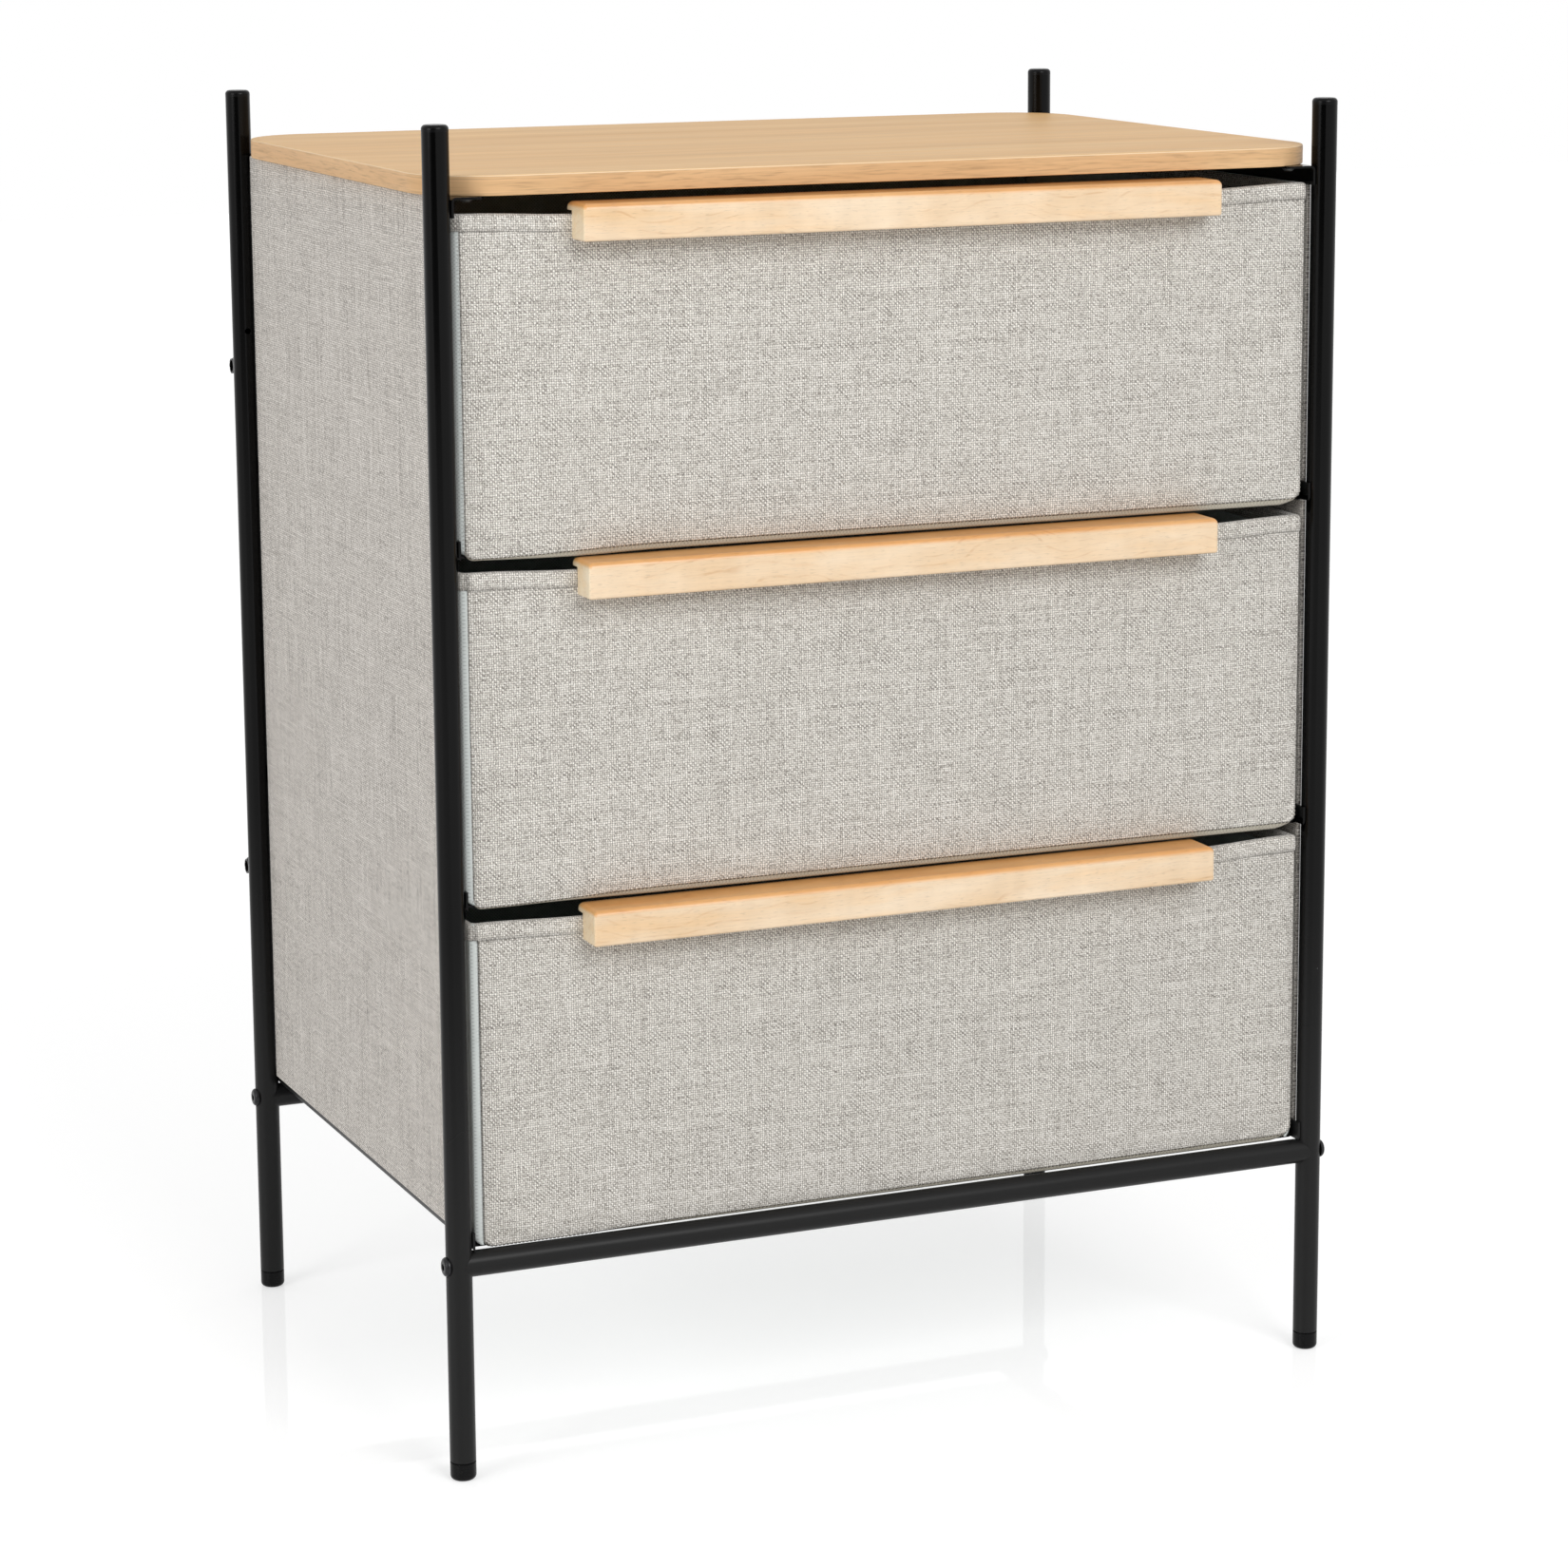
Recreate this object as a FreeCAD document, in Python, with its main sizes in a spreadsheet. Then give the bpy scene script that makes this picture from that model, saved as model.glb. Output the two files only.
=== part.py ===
import FreeCAD, Part
import os
import re

import Sketcher
from FreeCAD import Placement, Rotation, Vector

# Fabric drawer dresser: a black tube frame with bent-sheet runners, a wood top board,
# cloth side panels and three cloth drawers that slide out to the front on their runners.
# Millimetres, +Z up, front towards -Y, origin on the floor under the middle of the whole.

DRAWERS = ("bottom", "middle", "top")
SIDES = {"left": -1, "right": 1}
ENDS = ("front", "rear")
TOUCH = 1e-4

SIZES = {
    # tube frame
    "post_spacing_x": 586,          # between the axes of the left and right posts
    "post_spacing_y": 406,          # between the axes of the front and rear posts
    "post_diameter": 16,
    "tube_wall": 1.5,
    "post_above_board": 30,
    "rail_diameter": 16,            # cross rails under the bottom drawer
    "rail_clearance": 0.6,          # from the rails up to the bottom drawer's front
    "cope_clearance": 0.1,          # between a rail's coped end and its post
    "brace_diameter": 10,           # cross braces behind the rear posts
    "brace_wall": 1,
    "brace_overrun": 6,             # brace end beyond the post axis
    "brace_rise": 150,              # lower brace above the lowest ledge
    "brace_drop": 141,              # upper brace below the top board
    "spare_hole_diameter": 4,
    "spare_hole_rise": 25,          # above the upper brace
    # plastic caps
    "foot_cap_height": 12,
    "foot_edge_radius": 3,
    "foot_groove_width": 1,
    "foot_groove_depth": 0.7,
    "top_cap_height": 4,
    "top_cap_edge_radius": 2.5,
    "cap_plug_length": 12,
    "cap_plug_chamfer": 1,
    "fit_clearance": 0.1,           # radial, of plugs, inserts and screws in their bores
    # angles bent from sheet
    "sheet_thickness": 1.5,
    "ledge_width": 20,
    "upstand_height": 12,
    "bend_radius": 3,
    "ledge_corner_radius": 3,
    "runner_overrun": 3.5,          # end of an angle beyond the post axis
    "ledge_clearance": 0.5,         # from a drawer's front back to the ledge
    "lowest_ledge_height": 145,
    # top board and side panels
    "board_thickness": 12,
    "board_overhang": 3,            # beyond the post axes
    "board_corner_radius": 48,
    "board_top_round": 1,
    "board_bottom_round": 0.5,
    "panel_thickness": 3.5,
    "panel_clearance": 0.3,         # to the posts and the top board
    "panel_rise": 5.5,              # lower edge above the lowest ledge
    "panel_edge_radius": 1,
    # button-head bolts and their inserts
    "bolt_diameter": 6,
    "bolt_head_diameter": 12,
    "bolt_head_height": 3,
    "bolt_socket_width": 4,
    "bolt_socket_depth": 2,
    "bolt_flat_depth": 0.8,         # seat milled into the tube
    "bolt_flat_margin": 0.5,        # seat beyond the head, all round
    "rail_bolt_length": 30,
    "brace_bolt_length": 15,
    "bolt_tip_chamfer": 0.8,
    "head_rim": 0.6,                # straight rim below the dome or slope of a head
    "insert_length": 18,
    "insert_inset": 1,              # from the post to the insert
    # pan-head screws
    "board_screw_diameter": 4,
    "board_screw_length": 10,
    "board_screw_head_diameter": 8,
    "board_screw_head_height": 2,
    "board_screw_inset": 13,        # from the outside of the angle
    "board_screw_setback": 8,       # from the post axis
    "pull_screw_diameter": 3.5,
    "pull_screw_length": 16,
    "pull_screw_head_diameter": 8,
    "pull_screw_head_height": 2.2,
    "pull_screw_spacing": 320,
    "pull_screw_drop": 8,           # below the drawer's top edge
    "pilot_clearance": 0.5,         # bore beyond the screw's tip
    # cloth drawers
    "drawer_height": 200.5,
    "drawer_running_gap": 0.3,      # over the ledges
    "drawer_headroom": 10.2,        # up to the next ledge or the top board
    "drawer_side_gap": 5.5,         # to the upstand of the angle
    "drawer_back_gap": 14,          # from the drawer to the rear post axis
    "front_thickness": 6,
    "front_hang": 1.2,              # front below the drawer's underside
    "front_corner_radius": 6.5,
    "front_top_radius": 2,
    "front_edge_radius": 1.5,
    "wall_thickness": 3,
    "wall_edge_radius": 2,
    "base_thickness": 4,
    # wood pulls
    "pull_length": 420,
    "pull_depth": 20.5,
    "pull_height": 22,
    "lip_thickness": 5,
    "lip_reach": 10,
    "lip_corner_radius": 3,
    "pull_front_radius": 3.5,
    "pull_edge_radius": 1.6,
}

PLACES = {
    "post_radius": "post_diameter / 2",
    "post_x": "post_spacing_x / 2",
    "side_x": "post_x - post_radius",
    "back_reach": "post_spacing_y + post_radius + brace_diameter - bolt_flat_depth + bolt_head_height",
    "front_y": "-(back_reach - pull_depth) / 2",
    "rear_y": "front_y + post_spacing_y",
    "drawer_pitch": "drawer_running_gap + drawer_height + drawer_headroom",
    "drawer_half": "side_x - sheet_thickness - drawer_side_gap",
    "drawer_depth": "post_spacing_y - drawer_back_gap",
    "board_underside": f"lowest_ledge_height + {len(DRAWERS)} * drawer_pitch",
    "overall_height": "board_underside + board_thickness + post_above_board",
    "post_length": "overall_height - foot_cap_height - top_cap_height",
    "rail_z": "lowest_ledge_height + drawer_running_gap - front_hang - rail_clearance - rail_diameter / 2",
    "lower_brace_z": "lowest_ledge_height + brace_rise",
    "upper_brace_z": "board_underside - brace_drop",
    "plug_diameter": "post_diameter - 2 * tube_wall - 2 * fit_clearance",
    "angle_length": "post_spacing_y + 2 * runner_overrun",
    "ledge_start": "runner_overrun + front_thickness + ledge_clearance",
    "panel_edge": "sqrt(post_radius ^ 2 - (post_radius - panel_thickness) ^ 2) + panel_clearance",
    "pull_top": "drawer_height + lip_thickness",
    "pull_screw_z": "drawer_height - pull_screw_drop",
    "pull_screw_x": "pull_screw_spacing / 2",
    "board_screw_x": "side_x - board_screw_inset",
}

doc = FreeCAD.newDocument("dresser")
sheet = doc.addObject("Spreadsheet::Sheet", "Dims")
for row, (alias, number) in enumerate(SIZES.items(), start=1):
    sheet.set(f"A{row}", str(number))
    sheet.setAlias(f"A{row}", alias)
doc.recompute()

nodes = []


# --- sizes and places -------------------------------------------------------------------

def expand(text):
    """The text as an expression: places written out, sizes read from the sheet."""
    def swap(match):
        word = match.group()
        if word in PLACES:
            return f"({expand(PLACES[word])})"
        return f"Dims.{word}" if word in SIZES else word
    return re.sub(r"[a-z_]+", swap, text)


def value(text):
    """The number that an expression gives now."""
    return float(sheet.evalExpression(expand(text)))


def bind(thing, prop, text):
    """Ties a property to the sheet."""
    thing.setExpression(prop, expand(text))


# --- sketches ---------------------------------------------------------------------------

def new_sketch(body, plane, offset="0"):
    """A sketch on one of the body's own origin planes, moved along the plane's normal."""
    sketch = body.newObject("Sketcher::SketchObject", "Sketch")
    origin = next(item for item in body.Origin.OriginFeatures if item.Role == plane)
    sketch.AttachmentSupport = (origin, "")
    sketch.MapMode = "FlatFace"
    bind(sketch, "AttachmentOffset.Base.z", offset)
    return sketch


def pin(sketch, geometry, point, x, y):
    """Holds a point of the sketch at a place measured from the sketch's origin."""
    for text, kind, axis in ((x, "DistanceX", -2), (y, "DistanceY", -1)):
        if text == "0":
            sketch.addConstraint(Sketcher.Constraint("PointOnObject", geometry, point, axis))
        else:
            measure = Sketcher.Constraint(kind, -1, 1, geometry, point, value(text))
            bind(sketch, f"Constraints[{sketch.addConstraint(measure)}]", text)


def circle(sketch, diameter, x="0", y="0"):
    """A circle with its centre at (x, y)."""
    centre = Vector(value(x), value(y), 0)
    ring = sketch.addGeometry(Part.Circle(centre, Vector(0, 0, 1), value(diameter) / 2))
    pin(sketch, ring, 3, x, y)
    measure = Sketcher.Constraint("Diameter", ring, value(diameter))
    bind(sketch, f"Constraints[{sketch.addConstraint(measure)}]", diameter)


def outline(sketch, points):
    """A closed outline of straight lines through points given as pairs of expressions."""
    corners = [Vector(value(x), value(y), 0) for x, y in points]
    lines = [sketch.addGeometry(Part.LineSegment(corner, corners[(index + 1) % len(corners)]))
             for index, corner in enumerate(corners)]
    for index, line in enumerate(lines):
        following = lines[(index + 1) % len(lines)]
        sketch.addConstraint(Sketcher.Constraint("Coincident", line, 2, following, 1))
        pin(sketch, line, 1, *points[index])


def rectangle(sketch, low, high):
    """A rectangle between two opposite corners."""
    outline(sketch, [low, (high[0], low[1]), high, (low[0], high[1])])


# --- bodies and features ----------------------------------------------------------------

def new_body(label, x="0", y="0", z="0", turn=None):
    """A body with its label, its place in the dresser and, where given, its turn."""
    body = doc.addObject("PartDesign::Body", label)
    body.Label = label
    body.Placement = Placement(Vector(), turn or Rotation())
    for axis, text in zip("xyz", (x, y, z)):
        bind(body, f"Placement.Base.{axis}", text)
    return body


def extrude(body, kind, sketch, length=None, reverse=False, symmetric=False):
    """A pad or pocket of a sketch; without a length it goes through everything."""
    before = body.Shape.Volume if kind == "Pocket" else 0
    feature = body.newObject(f"PartDesign::{kind}", kind)
    feature.Profile = sketch
    feature.Reversed = reverse
    if symmetric:
        feature.SideType = "Symmetric"
    if length is None:
        feature.Type = "ThroughAll"
    else:
        bind(feature, "Length", length)
    doc.recompute()
    if kind == "Pocket" and body.Shape.Volume > before - TOUCH:
        raise ValueError(f"a pocket of {body.Label} cuts nothing")
    return feature


def revolve(body, points):
    """A turned solid: the profile's first coordinate is the radius, the second the height."""
    sketch = new_sketch(body, "XZ_Plane")
    outline(sketch, points)
    feature = body.newObject("PartDesign::Revolution", "Revolution")
    feature.Profile = sketch
    feature.ReferenceAxis = (sketch, ["V_Axis"])
    feature.Angle = 360
    doc.recompute()
    return feature


def dress(body, kind, prop, size, test):
    """A fillet or chamfer on the edges of the body's tip that pass the test."""
    base = body.Tip
    names = [f"Edge{number}" for number, edge in enumerate(base.Shape.Edges, start=1) if test(edge)]
    if not names:
        raise ValueError(f"no edge of {body.Label} to dress")
    feature = body.newObject(f"PartDesign::{kind}", kind)
    feature.Base = (base, names)
    bind(feature, prop, size)
    doc.recompute()


def fillet(body, radius, test):
    """A fillet on the edges that pass the test."""
    dress(body, "Fillet", "Radius", radius, test)


def span(edge, axis):
    """The lowest and highest place of an edge along an axis."""
    return getattr(edge.BoundBox, f"{axis}Min"), getattr(edge.BoundBox, f"{axis}Max")


def at(edge, **places):
    """Whether the whole edge lies at the given places, such as X="0" or Z="pull_top"."""
    for axis, text in places.items():
        low, high = span(edge, axis)
        place = value(text)
        if abs(low - place) > TOUCH or abs(high - place) > TOUCH:
            return False
    return True


def keep(piece):
    """Puts a finished piece on the list of what is written out."""
    nodes.append(piece)
    return piece


def group(label, pieces):
    """Identical small pieces of one kind as one node of separate solids."""
    compound = doc.addObject("Part::Compound", label)
    compound.Label = label
    compound.Links = pieces
    doc.recompute()
    return keep(compound)


# --- tube frame -------------------------------------------------------------------------

def tube_section(body, diameter, wall, plane):
    """The ring section of a round tube."""
    sketch = new_sketch(body, plane)
    circle(sketch, diameter)
    circle(sketch, f"{diameter} - 2 * {wall}")
    return sketch


def post(side, end):
    """Upright tube: bolt hole with a milled seat outside, and brace holes in the rear ones."""
    sign = SIDES[side]
    body = new_body(f"post_{end}_{side}", f"{sign} * post_x", f"{end}_y", "foot_cap_height")
    extrude(body, "Pad", tube_section(body, "post_diameter", "tube_wall", "XY_Plane"), "post_length")
    bolt_height = "rail_z - foot_cap_height"
    bore = new_sketch(body, "YZ_Plane")
    circle(bore, "bolt_diameter + 2 * fit_clearance", "0", bolt_height)
    extrude(body, "Pocket", bore, symmetric=True)
    seat = new_sketch(body, "YZ_Plane", f"{sign} * (post_radius - bolt_flat_depth)")
    circle(seat, "bolt_head_diameter + 2 * bolt_flat_margin", "0", bolt_height)
    extrude(body, "Pocket", seat, "post_radius", reverse=sign > 0)
    if end == "rear":
        back = new_sketch(body, "XZ_Plane")
        for brace in ("lower_brace_z", "upper_brace_z"):
            circle(back, "bolt_diameter + 2 * fit_clearance", "0", f"{brace} - foot_cap_height")
        extrude(body, "Pocket", back)
        front = new_sketch(body, "XZ_Plane")
        circle(front, "spare_hole_diameter", "0", "upper_brace_z + spare_hole_rise - foot_cap_height")
        extrude(body, "Pocket", front, reverse=True)
    return keep(body)


def foot_cap(side, end):
    """Foot plug of a post: a rounded foot, a groove under the tube's end and the plug."""
    body = new_body(f"foot_cap_{end}_{side}", f"{SIDES[side]} * post_x", f"{end}_y")
    neck = "post_radius - foot_groove_depth"
    shoulder = "foot_cap_height - foot_groove_width"
    tip = "foot_cap_height + cap_plug_length"
    revolve(body, [
        ("0", "0"),
        ("post_radius", "0"),
        ("post_radius", shoulder),
        (neck, shoulder),
        (neck, "foot_cap_height"),
        ("plug_diameter / 2", "foot_cap_height"),
        ("plug_diameter / 2", f"{tip} - cap_plug_chamfer"),
        ("plug_diameter / 2 - cap_plug_chamfer", tip),
        ("0", tip),
    ])
    fillet(body, "foot_edge_radius", lambda edge: at(edge, Z="0"))
    return keep(body)


def top_cap(side, end):
    """Head plug of a post: a flat head with a round edge, and the plug below it."""
    body = new_body(f"top_cap_{end}_{side}", f"{SIDES[side]} * post_x", f"{end}_y",
                    "overall_height - top_cap_height")
    tip = "-cap_plug_length"
    revolve(body, [
        ("0", tip),
        ("plug_diameter / 2 - cap_plug_chamfer", tip),
        ("plug_diameter / 2", f"{tip} + cap_plug_chamfer"),
        ("plug_diameter / 2", "0"),
        ("post_radius", "0"),
        ("post_radius", "top_cap_height"),
        ("0", "top_cap_height"),
    ])
    fillet(body, "top_cap_edge_radius", lambda edge: at(edge, Z="top_cap_height"))
    return keep(body)


def cross_rail(end):
    """Cross rail between two posts, with both ends coped to the round of the posts."""
    body = new_body(f"rail_{end}", y=f"{end}_y", z="rail_z")
    section = tube_section(body, "rail_diameter", "tube_wall", "YZ_Plane")
    extrude(body, "Pad", section, "post_spacing_x", symmetric=True)
    saddle = new_sketch(body, "XY_Plane")
    for sign in SIDES.values():
        circle(saddle, "post_diameter + 2 * cope_clearance", f"{sign} * post_x", "0")
    extrude(body, "Pocket", saddle, symmetric=True)
    return keep(body)


def rail_insert(side, end):
    """Threaded plug inside a rail's end, which its bolt draws against the post."""
    sign = SIDES[side]
    start = "side_x - insert_inset"
    body = new_body(f"rail_insert_{end}_{side}", f"{sign} * ({start})", f"{end}_y", "rail_z")
    section = new_sketch(body, "YZ_Plane")
    circle(section, "rail_diameter - 2 * tube_wall - 2 * fit_clearance")
    circle(section, "bolt_diameter + 2 * fit_clearance")
    extrude(body, "Pad", section, "insert_length", reverse=sign > 0)
    return body


def brace(level):
    """Thin tube across the back of the rear posts, with a hole and a flat seat at each bolt."""
    body = new_body(f"brace_{level}", y="rear_y + post_radius + brace_diameter / 2",
                    z=f"{level}_brace_z")
    section = tube_section(body, "brace_diameter", "brace_wall", "YZ_Plane")
    extrude(body, "Pad", section, "post_spacing_x + 2 * brace_overrun", symmetric=True)
    bores = new_sketch(body, "XZ_Plane")
    seats = new_sketch(body, "XZ_Plane", "bolt_flat_depth - brace_diameter / 2")
    for sign in SIDES.values():
        circle(bores, "bolt_diameter + 2 * fit_clearance", f"{sign} * post_x", "0")
        circle(seats, "bolt_head_diameter + 2 * bolt_flat_margin", f"{sign} * post_x", "0")
    extrude(body, "Pocket", bores, symmetric=True)
    extrude(body, "Pocket", seats, "brace_diameter")
    return keep(body)


# --- fasteners --------------------------------------------------------------------------

def screw(label, size, place, outward):
    """Pan-head screw along its own axis, its head's seat at the place given."""
    body = new_body(label, *place, turn=Rotation(Vector(0, 0, 1), outward))
    slope = f"{size}_head_height - head_rim"
    revolve(body, [
        ("0", f"-{size}_length"),
        (f"{size}_diameter / 2", f"-{size}_length"),
        (f"{size}_diameter / 2", "0"),
        (f"{size}_head_diameter / 2", "0"),
        (f"{size}_head_diameter / 2", "head_rim"),
        (f"{size}_head_diameter / 2 - ({slope})", f"{size}_head_height"),
        ("0", f"{size}_head_height"),
    ])
    return body


def bolt(label, length, place, outward):
    """Button-head bolt with a domed head and a hexagon socket."""
    body = new_body(label, *place, turn=Rotation(Vector(0, 0, 1), outward))
    revolve(body, [
        ("0", f"-{length}"),
        ("bolt_diameter / 2 - bolt_tip_chamfer", f"-{length}"),
        ("bolt_diameter / 2", f"bolt_tip_chamfer - {length}"),
        ("bolt_diameter / 2", "0"),
        ("bolt_head_diameter / 2", "0"),
        ("bolt_head_diameter / 2", "bolt_head_height"),
        ("0", "bolt_head_height"),
    ])
    fillet(body, "bolt_head_height - head_rim", lambda edge: at(edge, Z="bolt_head_height"))
    corner = "bolt_socket_width / sqrt(3)"
    flat = "bolt_socket_width / 2"
    socket = new_sketch(body, "XY_Plane", "bolt_head_height")
    outline(socket, [
        (corner, "0"),
        (f"{corner} / 2", flat),
        (f"-{corner} / 2", flat),
        (f"-{corner}", "0"),
        (f"-{corner} / 2", f"-{flat}"),
        (f"{corner} / 2", f"-{flat}"),
    ])
    extrude(body, "Pocket", socket, "bolt_socket_depth")
    return body


def rail_bolt(side, end):
    """Bolt from outside through a post into the insert of a rail."""
    sign = SIDES[side]
    place = (f"{sign} * (post_x + post_radius - bolt_flat_depth)", f"{end}_y", "rail_z")
    return bolt(f"rail_bolt_{end}_{side}", "rail_bolt_length", place, Vector(sign, 0, 0))


def brace_bolt(side, level):
    """Bolt from behind through a brace into a rear post."""
    seat = "rear_y + post_radius + brace_diameter - bolt_flat_depth"
    place = (f"{SIDES[side]} * post_x", seat, f"{level}_brace_z")
    return bolt(f"brace_bolt_{level}_{side}", "brace_bolt_length", place, Vector(0, 1, 0))


def board_screw(side, end):
    """Pan-head screw from below through a top angle into the board."""
    setback = {"front": "board_screw_setback", "rear": "-board_screw_setback"}[end]
    place = (f"{SIDES[side]} * board_screw_x", f"{end}_y + {setback}",
             "board_underside - sheet_thickness")
    return screw(f"board_screw_{end}_{side}", "board_screw", place, Vector(0, 0, -1))


# --- angles, board and panels -----------------------------------------------------------

def angle(label, side, z, upward):
    """Bent-sheet angle: its upstand lies against the posts and its ledge points inward."""
    sign = SIDES[side]
    body = new_body(label, f"{sign} * side_x", "front_y - runner_overrun", z)
    rise = "" if upward else "-"
    section = new_sketch(body, "XZ_Plane")
    outline(section, [
        ("0", "0"),
        ("0", f"{rise}upstand_height"),
        (f"{-sign} * sheet_thickness", f"{rise}upstand_height"),
        (f"{-sign} * sheet_thickness", f"{rise}sheet_thickness"),
        (f"{-sign} * ledge_width", f"{rise}sheet_thickness"),
        (f"{-sign} * ledge_width", "0"),
    ])
    extrude(body, "Pad", section, "angle_length", reverse=True)
    inner = {"X": f"{-sign} * sheet_thickness", "Z": f"{rise}sheet_thickness"}
    fillet(body, "bend_radius", lambda edge: at(edge, X="0", Z="0"))
    fillet(body, "bend_radius - sheet_thickness", lambda edge: at(edge, **inner))
    free = f"{-sign} * ledge_width"
    fillet(body, "ledge_corner_radius",
           lambda edge: at(edge, X=free, Y="0") or at(edge, X=free, Y="angle_length"))
    return body


def runner(name, level, side):
    """Upright angle that carries one side of a drawer: its ledge is notched in front, where
    the drawer's front hangs past it."""
    sign = SIDES[side]
    z = f"lowest_ledge_height - sheet_thickness + {level} * drawer_pitch"
    body = angle(f"runner_{name}_{side}", side, z, upward=True)
    free = f"{-sign} * ledge_width"
    notch = new_sketch(body, "XY_Plane")
    rectangle(notch, (f"{-sign} * sheet_thickness", "0"), (free, "ledge_start"))
    extrude(body, "Pocket", notch, "bend_radius", reverse=True)
    fillet(body, "ledge_corner_radius", lambda edge: at(edge, X=free, Y="ledge_start"))
    return keep(body)


def screw_places(sign):
    """The two screw places of one side, as seen from the front post's axis."""
    x = f"{sign} * board_screw_x"
    return [(x, "board_screw_setback"), (x, "post_spacing_y - board_screw_setback")]


def top_rail(side):
    """Upside-down angle under the board, screwed to it through two holes."""
    sign = SIDES[side]
    body = angle(f"top_rail_{side}", side, "board_underside", upward=False)
    holes = new_sketch(body, "XY_Plane")
    for x, y in screw_places(sign):
        circle(holes, "board_screw_diameter + 2 * fit_clearance",
               f"{x} - {sign} * side_x", f"{y} + runner_overrun")
    extrude(body, "Pocket", holes, "2 * sheet_thickness", symmetric=True)
    return keep(body)


def top_board():
    """Wood board with large round corners that clear the posts, and blind screw holes."""
    body = new_body("top_board", y="front_y", z="board_underside")
    half = "post_x + board_overhang"
    rim = new_sketch(body, "XY_Plane")
    rectangle(rim, (f"-({half})", "-board_overhang"), (half, "post_spacing_y + board_overhang"))
    extrude(body, "Pad", rim, "board_thickness")
    fillet(body, "board_corner_radius",
           lambda edge: span(edge, "Z")[1] - span(edge, "Z")[0] > TOUCH)
    fillet(body, "board_top_round", lambda edge: at(edge, Z="board_thickness"))
    fillet(body, "board_bottom_round", lambda edge: at(edge, Z="0"))
    holes = new_sketch(body, "XY_Plane")
    for sign in SIDES.values():
        for x, y in screw_places(sign):
            circle(holes, "board_screw_diameter + 2 * fit_clearance", x, y)
    extrude(body, "Pocket", holes, "board_screw_length - sheet_thickness + pilot_clearance",
            reverse=True)
    return keep(body)


def side_panel(side):
    """Cloth-covered board between a front and a rear post, against the angles' upstands."""
    sign = SIDES[side]
    bottom = "lowest_ledge_height + panel_rise"
    body = new_body(f"side_panel_{side}", f"{sign} * side_x", "front_y", bottom)
    face = new_sketch(body, "YZ_Plane")
    rectangle(face, ("panel_edge", "0"),
              ("post_spacing_y - panel_edge", f"board_underside - panel_clearance - ({bottom})"))
    extrude(body, "Pad", face, "panel_thickness", reverse=sign < 0)
    fillet(body, "panel_edge_radius", lambda edge: at(edge, X=f"{sign} * panel_thickness"))
    return keep(body)


# --- drawers ----------------------------------------------------------------------------

def drawer_body(name, level, piece, y="0", z="0"):
    """A body in the drawer's own place: y from its front face, z from its underside."""
    floor = f"lowest_ledge_height + {level} * drawer_pitch + drawer_running_gap"
    return new_body(f"drawer_{name}_{piece}", y=f"front_y + {y}", z=f"{floor} + {z}")


def drawer_front(name, level):
    """Padded front: it hangs a little below the drawer and has round lower corners."""
    body = drawer_body(name, level, "front")
    face = new_sketch(body, "XZ_Plane")
    rectangle(face, ("-drawer_half", "-front_hang"), ("drawer_half", "drawer_height"))
    extrude(body, "Pad", face, "front_thickness", reverse=True)
    corners = ("-drawer_half", "drawer_half")
    fillet(body, "front_corner_radius",
           lambda edge: any(at(edge, X=x, Z="-front_hang") for x in corners))
    fillet(body, "front_top_radius",
           lambda edge: any(at(edge, X=x, Z="drawer_height") for x in corners))
    fillet(body, "front_edge_radius", lambda edge: at(edge, Y="0"))
    holes = new_sketch(body, "XZ_Plane")
    for sign in SIDES.values():
        circle(holes, "pull_screw_diameter + 2 * fit_clearance",
               f"{sign} * pull_screw_x", "pull_screw_z")
    extrude(body, "Pocket", holes)
    return keep(body)


def drawer_wall(name, level, side):
    """Side wall, flush with the end of the front."""
    sign = SIDES[side]
    body = drawer_body(name, level, f"wall_{side}", y="front_thickness")
    section = new_sketch(body, "XZ_Plane")
    rectangle(section, (f"{sign} * drawer_half", "0"),
              (f"{sign} * (drawer_half - wall_thickness)", "drawer_height"))
    extrude(body, "Pad", section, "drawer_depth - front_thickness", reverse=True)
    fillet(body, "wall_edge_radius", lambda edge: at(edge, X=f"{sign} * drawer_half", Z="0"))
    return keep(body)


def drawer_back(name, level):
    """Back wall between the side walls."""
    body = drawer_body(name, level, "back", y="drawer_depth")
    face = new_sketch(body, "XZ_Plane")
    rectangle(face, ("-(drawer_half - wall_thickness)", "0"),
              ("drawer_half - wall_thickness", "drawer_height"))
    extrude(body, "Pad", face, "wall_thickness")
    return keep(body)


def drawer_base(name, level):
    """Stiff base board inside the walls."""
    body = drawer_body(name, level, "base")
    plan = new_sketch(body, "XY_Plane")
    rectangle(plan, ("-(drawer_half - wall_thickness)", "front_thickness"),
              ("drawer_half - wall_thickness", "drawer_depth - wall_thickness"))
    extrude(body, "Pad", plan, "base_thickness")
    return keep(body)


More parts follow.
